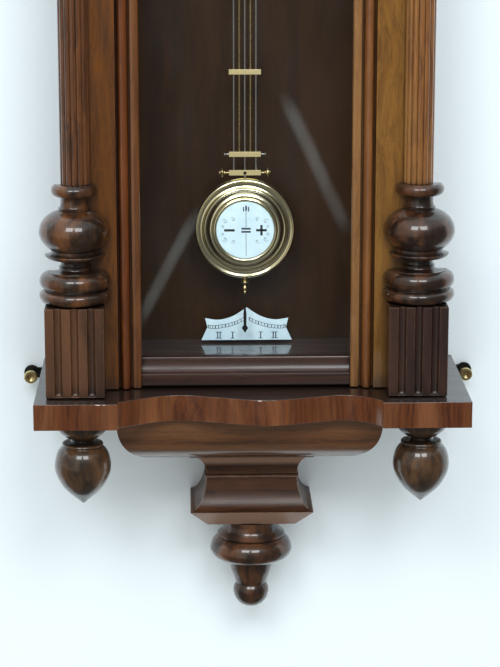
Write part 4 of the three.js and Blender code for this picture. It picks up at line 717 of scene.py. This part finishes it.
def make_corbel():
    """Block with a cove, a thin bead, a flare and a chamfered foot; (inset, height from its top)."""
    half, depth, cove = 59.4, 84, 15.7
    section = [(0, 1.8), (0, -3)]
    section += arc(0, -24.5, cove, 21.5, 86, 4, 12)
    section += [(cove + 0.5, -23.7), (cove - 0.9, -24.2)]
    section += [(cove - 1.6, -25), (cove - 1.7, -26), (cove - 1.1, -26.8), (cove - 0.1, -27.2)]
    section += arc(0, -24.5, cove, 34, -6, -88, 14)
    section += [(0, -58.5), (17, -75.5)]
    rings = []
    for inset, z in section:
        rings.append(square_ring(CORBEL_SHIFT, half - inset, depth - inset, CORBEL_TOP + z))
    dress(lofted("corbel_moulded", rings, sharp=35), CORBEL_WOOD, "walnut", "case", "corbel")


def make_bottom_finial():
    """Flared collar, cup, stem and bud; (radius, height from its top)."""
    profile = [(0, 0), (27, 0), (27.2, -4)]
    profile += curve([(27.2, -5), (28.4, -9.5), (32.4, -14.4)])
    profile += [(33, -15), (33, -15.8), (31.6, -16.4), (31.6, -17)]
    profile += curve([
        (33.2, -17.8), (37.6, -22.6), (39.8, -28), (40, -32), (37.8, -36.4), (31.8, -40), (25.4, -42.2),
        (21.8, -42.9),
    ])
    profile += [(21.3, -43.4), (21.3, -44.8)]
    profile += curve([(21, -46), (19.8, -53), (17, -61), (15.4, -65.6)])
    profile += [(14.8, -66.2), (14.6, -67)]
    profile += curve([
        (15.2, -67.6), (17, -71.4), (17.4, -76), (15.6, -82.4), (11.4, -87.8), (6, -90.6), (0, -91.3),
    ])
    made = spun("bottom_finial_turned", profile, (CORBEL_SHIFT, -43, FINIAL_TOP))
    dress(made, TURNED_WOOD, "walnut", "case", "bottom_finial")


def acorn():
    """Drop or corner finial: saucer, neck and pointed body; (radius, distance from the board)."""
    profile = [(0, 0), (23.6, 0)]
    profile += curve([(24.3, 0.8), (24.5, 3), (23, 7.6), (20, 11.4), (16, 14.4), (11.4, 16.2)])
    profile += curve([(11.2, 16.6), (10.3, 18), (11.2, 19.2)], 3)
    profile += curve([(15.4, 19.7), (18.2, 20.5), (19.2, 21.8), (18.9, 23)], 4)
    profile += [(18.3, 23.5), (18.7, 24.1)]
    profile += curve([
        (19.8, 24.7), (22.8, 28.4), (25.1, 34), (26.3, 41), (25.9, 47.6), (23.8, 54),
        (20.4, 60.4), (15.6, 66.6), (10, 71.8), (5, 76), (1.2, 79.2), (0, 79.8),
    ])
    return profile


def make_drops():
    for side, where in SIDES:
        centre = (BASE_SHIFT + side * DROP_SPREAD, -DROP_DEPTH, BASE_UNDER)
        made = spun(f"corner_drop_{where}_turned", [(r, -d) for r, d in acorn()], centre)
        dress(made, DARK_TURNED, "dark_wood", "case", f"corner_drop_{where}")


def make_case_boards():
    for where in ("left", "right"):
        redone(f"side_panel_{where}", SIDE_WOOD, "walnut", "case", bevel=0.8)
    redone("backboard", BACK_WOOD, "dark_wood", "case")
    redone("floor_board", FLOOR_WOOD, "dark_wood", "case", bevel=0.5)
    sawn_board("cornice_top_board", "cornice", width=392, depth=171.8, bottom=836.3, top=CORNICE_TOP)
    tier = quarter_tier("cornice_tier", width=258, depth=112, height=34, inset=36, foot=CORNICE_TOP - GAP)
    dress(tier, VENEER, "veneer", "case", "cornice")
    redone("crest", SIDE_WOOD, "walnut", "case", bevel=0.6)
    for side, where in SIDES:
        centre = (side * DROP_SPREAD, -DROP_DEPTH, CORNICE_TOP + GAP)
        made = spun(f"corner_finial_{where}_turned", acorn(), centre)
        dress(made, DARK_TURNED, "dark_wood", "case", f"corner_finial_{where}")


# Door
def make_moulding():
    """Moulding up one side of the opening, over its arch and down the other; (distance outward, depth)."""
    section = [(0, 112.2), (0, 121.6)]
    section += curve([(0, 121.8), (0.8, 123.3), (2.4, 124)], 3)
    section += [(6.6, 124), (7.8, 123.4), (8.4, 122), (8.5, 118.6), (9.7, 118.6), (9.9, 121)]
    section += curve([
        (10, 121.6), (10.9, 124.6), (12.8, 127), (15.2, 127.9), (17.4, 127), (19.2, 124), (19.8, 121.4),
    ], 4)
    section += [(20, 120.7), (21.1, 120.6), (21.1, 103.3), (7, 103.3), (7, 112.2)]
    steps = 64
    way = [(math.pi * i / steps, ARCH_SPRING) for i in range(steps + 1)]
    rings = []
    for a, z in [(0, DOOR_FOOT), *way, (math.pi, DOOR_FOOT)]:
        c, s = math.cos(a), math.sin(a)
        rings.append([((OPENING_HALF + u) * c, -d, z + (OPENING_HALF + u) * s) for u, d in section])
    made = lofted("door_moulding_run", rings, sharp=38)
    lip = sum(1 for u, d in section if u < 9 and d > 112)
    sides = len(section)
    skin = sides * (len(rings) - 1)
    second_finish(made, lambda face: face.index < skin and face.index % sides < lip - 1)
    dress(made, (MOULDING_WOOD, LIP_WOOD), "walnut", "door", "door_moulding")


def make_rail():
    """Rail across the foot of the door; (depth, height)."""
    section = [(103.3, DOOR_FOOT), (119.5, DOOR_FOOT)]
    section += curve([(119.6, DOOR_FOOT), (121.4, 2.6), (122, 5)], 4)
    section += [(122, 11.4), (121, 11.9), (120.8, 13)]
    section += arc(120.8, 27, 7.4, 13.4, 268, 182, 12)
    section += [(113, 27.6), (112.6, 28), (112.2, 28), (112.2, 22), (109, 22), (109, 28), (103.3, 28)]
    rings = [[(x, -d, z) for d, z in section] for x in (GAP - OPENING_HALF, OPENING_HALF - GAP)]
    dress(lofted("door_bottom_rail_run", rings), RAIL_WOOD, "walnut", "door", "door_bottom_rail")


def fluted_block(name, x, half, front, bottom, top):
    """Block in front of the door with three half-round flutes, stopped at the foot alone."""
    width, deep, stop, steps = 3.6, 3.4, 0.8, 12
    pitch = 2 * half / 3.55

    def ring(z, share):
        line = [(x - half, -COLUMN_DEPTH, z), (x - half, -front, z)]
        for i in (-1, 0, 1):
            for k in range(steps + 1):
                a = math.pi * (1 - k / steps)
                line.append((x + i * pitch + width * math.cos(a), -front + deep * share * math.sin(a), z))
        return [*line, (x + half, -front, z), (x + half, -COLUMN_DEPTH, z)]

    rings = [ring(bottom, 0), ring(bottom + stop, 0)]
    cap = [math.sin(math.pi / 2 * k / 6) for k in range(1, 7)]
    rings += [ring(bottom + stop + width * (1 - math.sqrt(1 - c * c)), c) for c in cap]
    rings += [ring(top, 1)]
    return lofted(name, rings, sharp=40)


def column_base_profile(bead):
    """Turned base of a column from its foot up; bead is the radius of the bead at its top."""
    profile = [(0, 0), (27, 0), (28.2, 0.6)]
    profile += curve([(28.4, 0.8), (31.6, 2.4), (33.4, 6.3), (32.6, 10), (29.6, 12.6)])
    profile += [(28.6, 12.8), (28.4, 13.4)]
    profile += curve([(29.4, 13.7), (32.2, 16.6), (33.1, 20.4), (32.2, 24.6), (29.8, 27.6), (27, 29.2)])
    profile += [(26, 29.4), (25.8, 30.1), (24.6, 30.1), (17, 30.3)]
    profile += curve([(16.8, 30.4), (15, 31.4), (14.4, 33.2)])
    profile += [(15, 33.5), (15, 34.5), (14, 34.9)]
    profile += curve([(13.8, 35.1), (13.2, 37), (13.6, 39.2), (16.4, 40.6), (22.4, 41.4)])
    profile += curve([(23.6, 41.6), (26.3, 42.8), (27.5, 44.6), (27.4, 45.5), (26.6, 46)], 3)
    profile += [(23.2, 46.6), (22.4, 47.2), (22.3, 49.6)]
    profile += curve([
        (23, 50.4), (26.6, 53.2), (30.6, 58.2), (32.7, 63.8), (32.7, 68.6), (30.8, 74.4), (26.8, 79.8),
        (21.6, 83.6), (16.4, 86),
    ])
    profile += [(14.3, 86.6), (14.6, 87.2), (14.6, 88.6), (13.4, 89.1)]
    profile += curve([(13.2, 89.4), (12.4, 93), (12.6, 97.4), (14, 99.2)])
    profile += curve([
        (bead - 3.4, 99.6), (bead - 0.9, 101.4), (bead, 104.4), (bead - 0.6, 107.4), (bead - 3, 110),
    ], 5)
    return profile + [(17.4, COLUMN_BASE_HEIGHT), (0, COLUMN_BASE_HEIGHT)]


def capital_profile():
    profile = [(0, 0), (17.8, 0)]
    profile += curve([(18.4, 0.4), (20.6, 3.2), (20.9, 6.6), (19, 9.6)], 5)
    profile += [(14, 10.6)]
    profile += curve([
        (13.4, 11), (13.1, 17), (14.4, 22.4), (19, 27), (25.6, 31), (30.8, 37.6), (32.4, 45.6), (30.8, 52.6),
        (26.4, 57),
    ])
    profile += [(24.6, 58.4), (24.4, 60.4)]
    profile += curve([(26, 61), (30.4, 63.2), (31.6, 67), (30.2, 71.2), (27, 73.6)])
    return profile + [(24, 73.7), (24, 87.6), (0, 87.6)]


def half_turned(name, profile, x, z):
    """Turned wood split down its middle, with its flat side on the door."""
    made = spun(f"{name}_turned", profile, (x, -COLUMN_DEPTH, z), segments=56, sweep=180)
    dress(made, TURNED_WOOD, "walnut", "door", name)


def fluted_shaft(name, x, bottom, top):
    radius, flutes, deep, steps = 13.9, 14, 1.5, 112
    line = []
    for i in range(steps + 1):
        a = math.pi * (1 + i / steps)
        dip = 1 - abs(math.sin(a * flutes / 2)) ** 0.6
        r = radius - deep * dip
        line.append((x + r * math.cos(a), -COLUMN_DEPTH + r * math.sin(a)))
    rings = [[(px, py, z) for px, py in line] for z in (bottom, top)]
    return lofted(name, rings, sharp=50)


def make_columns():
    base = PEDESTAL_TOP + GAP
    shaft_foot = base + COLUMN_BASE_HEIGHT + GAP
    kinds = zip(SIDES, TURNING_SHIFTS, SHAFT_SHIFTS, TOP_BEADS)
    for (side, where), turning_shift, shaft_shift, bead in kinds:
        x = side * COLUMN_SPREAD
        made = fluted_block(
            f"pedestal_{where}_fluted", x, half=27, front=159.4, bottom=DOOR_FOOT, top=PEDESTAL_TOP,
        )
        soften(made, 0.5, 2, 60)
        dress(made, PEDESTAL_WOOD, "walnut", "door", f"pedestal_{where}")
        half_turned(f"column_base_{where}", column_base_profile(bead), x + turning_shift, base)
        made = fluted_shaft(f"column_shaft_{where}_fluted", x + shaft_shift, shaft_foot, SHAFT_TOP)
        dress(made, SHAFT_WOOD, "walnut_light", "door", f"column_shaft_{where}")
        half_turned(f"capital_{where}", capital_profile(), x, SHAFT_TOP + GAP)
        made = fluted_block(f"capital_{where}_block", x, half=25, front=157.4, bottom=772, top=834)
        dress(made, PEDESTAL_WOOD, "walnut", "door", f"capital_{where}")


def make_door():
    redone("door_frame", STRIP_WOOD, "walnut_light", "door", bevel=0.5)
    make_moulding()
    make_rail()
    redone("door_glass", GLASS, "glass", "door")
    make_columns()


# Fittings of brass and iron
def make_fittings():
    for where in ("lower", "upper"):
        for leaf, body in (("case", "case"), ("door", "door")):
            node = f"hinge_{where}_{leaf}_leaf"
            redone(node, BRASS, "brass", body, bevel=0.15)
    redone("latch_hook", BRASS, "brass", "latch", bevel=0.2)
    redone("steady_strap", IRON, "iron", "case", bevel=0.3)
    profile = [(0, 0.3), (1.2, 0.3), (2.2, 1.7), (2.2, 13.6)]
    profile += [(3.4, 14), (3.6, 14.4), (3.6, 18.2), (4.6, 18.5)]
    profile += curve([(5.8, 18.6), (6.5, 19.2), (6.6, 20.2), (6.4, 21.2), (5.8, 21.9)], 3)
    profile += curve([(5.4, 22), (3.6, 21.9), (2.6, 21.2), (1.6, 20.5), (0, 20.4)], 3)
    for side, where in SIDES:
        centre = (BASE_SHIFT + side * STEADY_SPREAD, 0, STEADY_Z)
        made = spun(f"steady_screw_{where}_turned", profile, centre, "Y", 48)
        dress(made, BRASS, "brass", f"{where}_steady", f"steady_screw_{where}")


# Pendulum
def rod(name, place, bottom, top, material, slot, node):
    """One rod of the grid, counted from the centre rod."""
    r, chamfer = 0.9, 0.15
    profile = [(0, bottom), (r - chamfer, bottom), (r, bottom + chamfer)]
    profile += [(r, top - chamfer), (r - chamfer, top), (0, top)]
    made = spun(name, profile, (MOVEMENT_X + ROD_PITCH * place, -PENDULUM_DEPTH, 0), segments=20)
    dress(made, material, slot, "pendulum", node)


def crossbar(name, z, material, slot, node):
    outline = box_outline(MOVEMENT_X, z, width=30.4, height=4.8)
    made = slab(name, outline, PENDULUM_DEPTH - 2, PENDULUM_DEPTH + 2, bevel=0.3)
    dress(made, material, slot, "pendulum", node)


def spun_across(name, profile, x, z, material, slot, node):
    """Small turned piece lying along x: (radius, distance out from x), mirrored when x is on the left."""
    out = -1 if x < MOVEMENT_X else 1
    count = 28
    turns = [math.tau * i / count for i in range(count)]
    rings = []
    for r, h in profile:
        rings.append([(x + out * h, -PENDULUM_DEPTH + r * math.cos(a), z + r * math.sin(a)) for a in turns])
    dress(lofted(name, rings), material, slot, "pendulum", node)


def spun_forward(name, profile, z, segments):
    """Turned piece with its axis square to the wall: (radius, distance in front of the rods)."""
    return spun(name, [(r, PENDULUM_DEPTH + d) for r, d in profile], (MOVEMENT_X, 0, z), "Y", segments)


def make_pendulum():
    redone("suspension_spring", STEEL, "steel", "pendulum", bevel=0.1)
    steel, brass, lower = "pendulum_steel_frame", "pendulum_brass_frame", "pendulum_lower_bar"
    pin = [(0.8, 0), (0.8, 2.6), (0.5, 2.9), (1.0, 3.3), (1.3, 4), (1.2, 4.5), (0.7, 4.9)]
    knob = [(0.9, -0.4), (0.9, 2.9), (1.9, 3.1), (2.5, 3.7), (2.4, 4.3), (1.7, 4.8)]
    knob += [(3.4, 5.2), (4.4, 5.9), (4.6, 6.8), (4, 7.7), (2.7, 8.1)]
    knob += [(2.6, 8.6), (2.3, 9.3), (1.4, 9.9), (0.4, 10.2)]
    for side, where in SIDES:
        rod(f"steel_rod_{where}", 2 * side, 189.8, ROD_TOP, STEEL, "steel", steel)
        rod(f"brass_rod_{where}", side, 207, 621, BRASS, "brass", brass)
        spun_across(f"bar_pin_{where}", pin, MOVEMENT_X + side * 15, BRASS_BARS[0], STEEL, "steel", brass)
        spun_across(f"bar_knob_{where}", knob, MOVEMENT_X + side * 15.2, LOWER_BAR, BRASS, "brass", lower)
    for k, z in enumerate(BRASS_BARS):
        crossbar(f"brass_crossbar_{k}", z, SATIN_BRASS, "brass", brass)
    crossbar("head_crossbar", HEAD_BAR, STEEL, "steel", steel)
    crossbar("lower_crossbar", LOWER_BAR, SATIN_BRASS, "brass", lower)
    screw = [(0, 2.6), (1, 2.6), (1.5, 2.3), (1.6, 1.9), (1.6, -0.5), (0, -0.5)]
    dress(spun_forward("crossbar_screw", screw, LOWER_BAR, 24), IRON, "iron", "pendulum", lower)
    make_hook()
    make_pointer()
    make_bob()
    make_nut()


def make_hook():
    """Flat hook over the head bar, slotted for the pin of the crutch."""
    outline = [(-3.6, HEAD_BAR), (3.6, HEAD_BAR), (3.6, 675.7), (-3.6, 675.7)]
    slot = [(1.15, 652), (-1.15, 652), (-1.15, 660), (1.15, 660)]
    bm = bmesh.new()
    rings = []
    for depth in (PENDULUM_DEPTH - 1, PENDULUM_DEPTH + 1):
        rings.append([bm.verts.new(Vector((MOVEMENT_X + x, -depth, z)) * MM) for x, z in outline + slot])
    for rim in ((0, 1, 2, 3), (4, 5, 6, 7)):
        for a, b in zip(rim, rim[1:] + rim[:1]):
            bm.faces.new((rings[0][a], rings[0][b], rings[1][b], rings[1][a]))
    for ring in rings:
        for corners in ((0, 1, 4, 5), (1, 2, 7, 4), (2, 3, 6, 7), (3, 0, 5, 6)):
            bm.faces.new([ring[i] for i in corners])
    dress(object_from("pendulum_hook", bm), STEEL, "steel", "pendulum", "pendulum_steel_frame")


def make_pointer():
    """Centre rod of the pendulum and the dark leaf on its end, over the beat scale."""
    tip = POINTER_TIP
    rod("centre_rod", 0, tip + 38, ROD_TOP, STEEL, "steel", "pendulum_pointer")
    half = [(0.8, tip + 40), (0.9, tip + 24), (1.5, tip + 19), (1.3, tip + 7.4)]
    half += [(2.7, tip + 5.6), (2.9, tip + 4.4), (1.6, tip + 2.6)]
    outline = [(MOVEMENT_X + x, z) for x, z in half]
    outline += [(MOVEMENT_X, tip)] + [(MOVEMENT_X - x, z) for x, z in half[::-1]]
    made = slab("pointer_leaf", outline, PENDULUM_DEPTH - 0.6, PENDULUM_DEPTH + 0.6, bevel=0.1)
    dress(made, IRON, "steel", "pendulum", "pendulum_pointer")


def make_bob():
    """Rolled brass lens with its rings, and the enamel disc let into its front."""
    profile = [(0, 10.8), (27.6, 10.8), (27.6, 11.8)]
    profile += curve([(27.9, 12.2), (29, 12.9), (30.4, 12.4), (31, 11.4)], 4)
    profile += curve([(31.2, 11.2), (32.6, 11.3), (34.4, 10.5), (36, 9.2), (37, 8)], 4)
    profile += curve([(37.2, 7.9), (38.4, 8), (39.6, 7.2), (40.4, 6)], 4)
    profile += curve([(40.6, 5.8), (42, 5.3), (43.6, 5.3), (44.6, 5.6)], 4)
    profile += curve([
        (44.8, 5.8), (45.6, 6.5), (46.5, 6.4), (47.5, 5.6), (48.3, 4.4), (BOB_RADIUS, 3.2), (48.4, 1.8),
        (46.8, 0.6),
    ], 5)
    profile += curve([(46.3, 0.3), (42, -4.6), (32, -9.2), (16, -11.8), (0, -12.4)], 6)
    dress(spun_forward("bob_rolled", profile, BOB_Z, 96), BOB_BRASS, "brass", "bob_assembly", "bob")
    disc = [(0, 11.1), (27.3, 11.1), (27.3, 11.8), (26.9, 12.1), (0, 12.1)]
    made = spun_forward("bob_enamel_disc", disc, BOB_Z, 96)
    dress(made, ENAMEL, "enamel", "bob_assembly", "bob_enamel")


def make_nut():
    """Nut just under the bob's edge, round the rod; (radius, height from NUT_Z)."""
    top = BOB_Z - BOB_RADIUS - GAP - NUT_Z
    profile = [(1.15, -8.8), (1.6, -8.8), (1.9, -8.3), (1.7, -7.7), (1.25, -7.3)]
    profile += curve([(1.4, -7), (2.1, -6.2), (2.35, -4.9), (2, -3.6), (1.5, -2.7)], 3)
    profile += [(1.3, -1.6), (1.6, -0.6)]
    profile += curve([(2.6, 0), (3.7, 0.5), (4, 1.3), (3.7, 2), (2.6, 2.4)], 3)
    profile += [(1.9, 2.8)]
    profile += curve([(2.1, 3), (2.5, 3.8), (1.8, top - 0.3)], 3)
    profile += [(1.15, top), (1.15, -8.8)]
    made = spun("rating_nut_turned", profile, (MOVEMENT_X, -PENDULUM_DEPTH, NUT_Z), segments=40)
    dress(made, BRASS, "brass", "bob_assembly", "rating_nut")


# Marks printed on enamel: thin plates standing just proud of the face
def mark(name, outline, face, body):
    dress(slab(name, outline, face - 0.05, face + 0.08), INK, "enamel", body)


def box_outline(x, z, width, height, turn=0.0):
    c, s = math.cos(turn), math.sin(turn)
    w, h = width / 2, height / 2
    return [(x + px * c - pz * s, z + px * s + pz * c) for px, pz in ((-w, -h), (w, -h), (w, h), (-w, h))]


def stroke(points, widths):
    """Outline of a pen stroke along points, with a width at each."""
    left, right = [], []
    for i, (x, z) in enumerate(points):
        ahead = points[min(i + 1, len(points) - 1)]
        behind = points[max(i - 1, 0)]
        dx, dz = ahead[0] - behind[0], ahead[1] - behind[1]
        size = math.hypot(dx, dz) or 1
        w = widths[i] / 2
        left.append((x - dz / size * w, z + dx / size * w))
        right.append((x + dz / size * w, z - dx / size * w))
    return left + right[::-1]


def make_beat_scale():
    """Plate with II and I on each side of the middle, and two sweeping lines with ticks between them."""
    redone("beat_scale", ENAMEL, "enamel", "case", bevel=0.25)

    def put(name, x, z, width, height):
        mark(name, box_outline(SCALE_X + x, SCALE_BOTTOM + z, width, height), SCALE_FACE, "case")

    pitch = 2.4
    for i, (x, count) in enumerate(((-27, 2), (-13.6, 1), (13.6, 1), (27, 2))):
        for k in range(count):
            put(f"scale_numeral_{i}_{k}", x + (k - (count - 1) / 2) * pitch, 5, 1, 5.8)
        for k, z in enumerate((2, 8)):
            put(f"scale_serif_{i}_{k}", x, z, pitch * count + 1.4, 0.6)
    sweep = curve([
        (2.6, 22.6), (8.9, 19.4), (14.1, 17.6), (20.4, 15.9), (27.3, 14.9), (33, 14.6), (37.3, 15.3),
    ], 4)
    drop = 3
    for side, where in SIDES:
        for k in range(2):
            line = [(SCALE_X + side * x, SCALE_BOTTOM + z - k * drop) for x, z in sweep]
            mark(f"scale_line_{where}_{k}", stroke(line, [0.4] * len(line)), SCALE_FACE, "case")
        for k, (x, z) in enumerate(sweep[::2]):
            put(f"scale_tick_{where}_{k}", side * x, z - drop / 2, 0.6 if k % 3 else 0.9, drop)


def make_bob_marks():
    """Plus, minus and level signs, in a fine wreath of plain scrollwork."""
    face = PENDULUM_DEPTH + 12.13
    level_x = 0.8

    def put(name, outline):
        mark(name, [(MOVEMENT_X + x, BOB_Z + z) for x, z in outline], face, "bob_assembly")

    for k, z in enumerate((1.5, -1.5)):
        put(f"bob_level_{k}", box_outline(level_x, z, 8.8, 1.6))
    put("bob_minus", box_outline(-15, 0, 10, 2.2))
    put("bob_plus_bar", box_outline(15.4, 0, 10, 2.2))
    put("bob_plus_post", box_outline(15.4, 0, 2.2, 10))
    for k, (bottom, top) in enumerate(((3, 24.6), (-24.6, -3))):
        put(f"bob_line_{k}", box_outline(level_x, (bottom + top) / 2, 0.45, top - bottom))
    for k, (x, width) in enumerate(((-1.6, 1), (3.2, 1), (level_x, 1.6))):
        put(f"bob_finial_{k}", box_outline(x, 19.4 + width, width, 4.4))
    count = 22
    widths = [0.15 + 0.25 * math.sin(math.pi * n / (count - 1)) for n in range(count)]
    for i, side in enumerate((-1, 1)):
        for j, up in enumerate((-1, 1)):
            for k, (x, z, size) in enumerate(((19.4, 8.4, 3), (11.6, 10.4, 2.6), (21.6, 3.4, 1.8))):
                spiral = []
                for n in range(count):
                    a = 0.4 + n * 0.34
                    r = size * math.exp(-0.09 * n)
                    spiral.append((side * (x + r * math.cos(a)), up * (z + r * math.sin(a))))
                put(f"bob_scroll_{i}{j}{k}", stroke(spiral, widths))


# Movement and dial, behind the arched top of the door
def make_movement():
    brass = {
        "back_plate": "case", "front_plate": "case", "dial_bezel": "case", "mainspring_barrel": "barrel",
        "second_wheel": "second_arbor", "centre_wheel": "centre_arbor", "third_wheel": "third_arbor",
        "escape_wheel": "escape_arbor", "minute_wheel": "minute_work", "hour_wheel": "hour_work",
    }
    for node, body in brass.items():
        redone(node, BRASS, "brass", body, bevel=0.1)
    steel = {"winding_arbor": "winding", "click": "ratchet_click", "anchor_and_crutch": "anchor"}
    for node, body in steel.items():
        redone(node, STEEL, "steel", body, bevel=0.1)
    redone("movement_bracket", IRON, "iron", "case", bevel=0.6)
    redone("dial", ENAMEL, "enamel", "case", bevel=0.2)
    redone("hour_hand", BLUED, "blued_steel", "hour_work", bevel=0.1)
    redone("minute_hand", BLUED, "blued_steel", "centre_arbor", bevel=0.1)
    make_dial_marks()


# Hours of the dial, with the width that each letter takes and its strokes: (x, width, height, lean)
NUMERALS = ("XII", "I", "II", "III", "IIII", "V", "VI", "VII", "VIII", "IX", "X", "XI")
ADVANCE = {"I": 3.4, "V": 7, "X": 7}
STROKES = {
    "I": {"": (0, 1.7, 15, 0)},
    "V": {"a": (-1.4, 1.7, 15, 0.18), "b": (1.4, 0.8, 15, -0.18)},
    "X": {"a": (0, 1.7, 15.4, 0.34), "b": (0, 0.8, 15.4, -0.34)},
}


def make_dial_marks():
    def put(name, outline, turn):
        c, s = math.cos(turn), math.sin(turn)
        placed = [(MOVEMENT_X + x * c + z * s, DIAL_Z - x * s + z * c) for x, z in outline]
        mark(name, placed, DIAL_FACE, "case")

    for k in range(60):
        width = 0.4 if k % 5 else 1.3
        put(f"minute_mark_{k}", box_outline(0, MINUTE_RADIUS, width, 3.4), math.radians(6 * k))
    for hour, letters in enumerate(NUMERALS):
        turn = math.radians(30 * hour)
        x = -sum(ADVANCE[letter] for letter in letters) / 2
        for i, letter in enumerate(letters):
            middle = x + ADVANCE[letter] / 2
            x += ADVANCE[letter]
            for part, (off, width, height, lean) in STROKES[letter].items():
                outline = box_outline(middle + off, NUMERAL_RADIUS, width, height, lean)
                put(f"numeral_{hour}_{i}{part}", outline, turn)


# Stage, light and camera
def sheet(name, corners, paint):
    """One flat face in metres, turned by the order of its corners."""
    bm = bmesh.new()
    bm.faces.new([bm.verts.new(corner) for corner in corners])
    mesh = bpy.data.meshes.new(name)
    bm.to_mesh(mesh)
    bm.free()
    mesh.materials.append(paint)
    return in_scene(name, mesh)


def make_stage():
    paint = stage_paint("wall_paint", colour(238, 249, 255), backless=True)
    corners = ((-4, -1.2), (4, -1.2), (4, 3.4), (-4, 3.4))
    wall = sheet("wall", [(x, WALL_Y, z) for x, z in corners], paint)
    paint = stage_paint(
        "floor_paint", colour(232, 238, 242), bounce=(0.5, 0.49, 0.46, 1), gleam=(0.1, 0.09, 0.08, 1),
    )
    corners = ((-4, -2.2), (4, -2.2), (4, 4), (-4, 4))
    floor = sheet("floor", [(x, y, FLOOR_Z) for x, y in corners], paint)


def make_windows():
    for name, x in WINDOWS:
        place = (x, WINDOW_Y, WINDOW_Z)
        lamp = bpy.data.lights.new(name, "AREA")
        lamp.shape = "RECTANGLE"
        lamp.size = WINDOW_SIZE
        lamp.size_y = WINDOW_SIZE
        lamp.energy = WINDOW_POWER
        lamp.color = WINDOW_TINT
        made = in_scene(name, lamp)
        made.location = place
        made.rotation_euler = (Vector(LIT_POINT) - Vector(place)).to_track_quat("-Z", "Y").to_euler()


def make_room():
    world = bpy.data.worlds.new("room")
    world.use_nodes = True
    tree = world.node_tree
    way = add(tree, "ShaderNodeTexCoord").outputs["Generated"]
    parts = add(tree, "ShaderNodeSeparateXYZ", {0: way})
    across, height = parts.outputs[0], parts.outputs[2]
    ray = add(tree, "ShaderNodeLightPath")
    mirrored = ray.outputs["Is Glossy Ray"]
    low = mix(tree, mirrored, ROOM_LOW, MIRRORED_LOW)
    gleam = mix(tree, fit(tree, across, -0.1, -0.36), MIRRORED_FRONT, MIRRORED_LEFT)
    front = mix(tree, mirrored, ROOM_FRONT, gleam)
    room = mix(tree, fit(tree, across, -0.3, -0.8), front, ROOM_LEFT)
    room = mix(tree, fit(tree, height, 0.3, 0.9), room, CEILING)
    room = mix(tree, fit(tree, height, -0.1, -0.5), room, low)
    seen = math_node(tree, "MAXIMUM", ray.outputs["Is Camera Ray"], ray.outputs["Is Transmission Ray"])
    feed(tree, tree.nodes["Background"], {"Color": mix(tree, seen, room, ROOM_SEEN)})
    bpy.context.scene.world = world


def make_camera():
    lens = bpy.data.cameras.new("camera")
    lens.lens = CAMERA_LENS
    made = in_scene("camera", lens)
    made.location = CAMERA_AT
    made.rotation_euler = (math.pi / 2 - CAMERA_PITCH, 0, CAMERA_YAW)
    bpy.context.scene.camera = made


bpy.context.scene.view_settings.view_transform = "Standard"
make_camera()
make_stage()
make_windows()
make_room()
make_case_boards()
make_base()
make_door()
make_fittings()
make_pendulum()
make_beat_scale()
make_bob_marks()
make_movement()
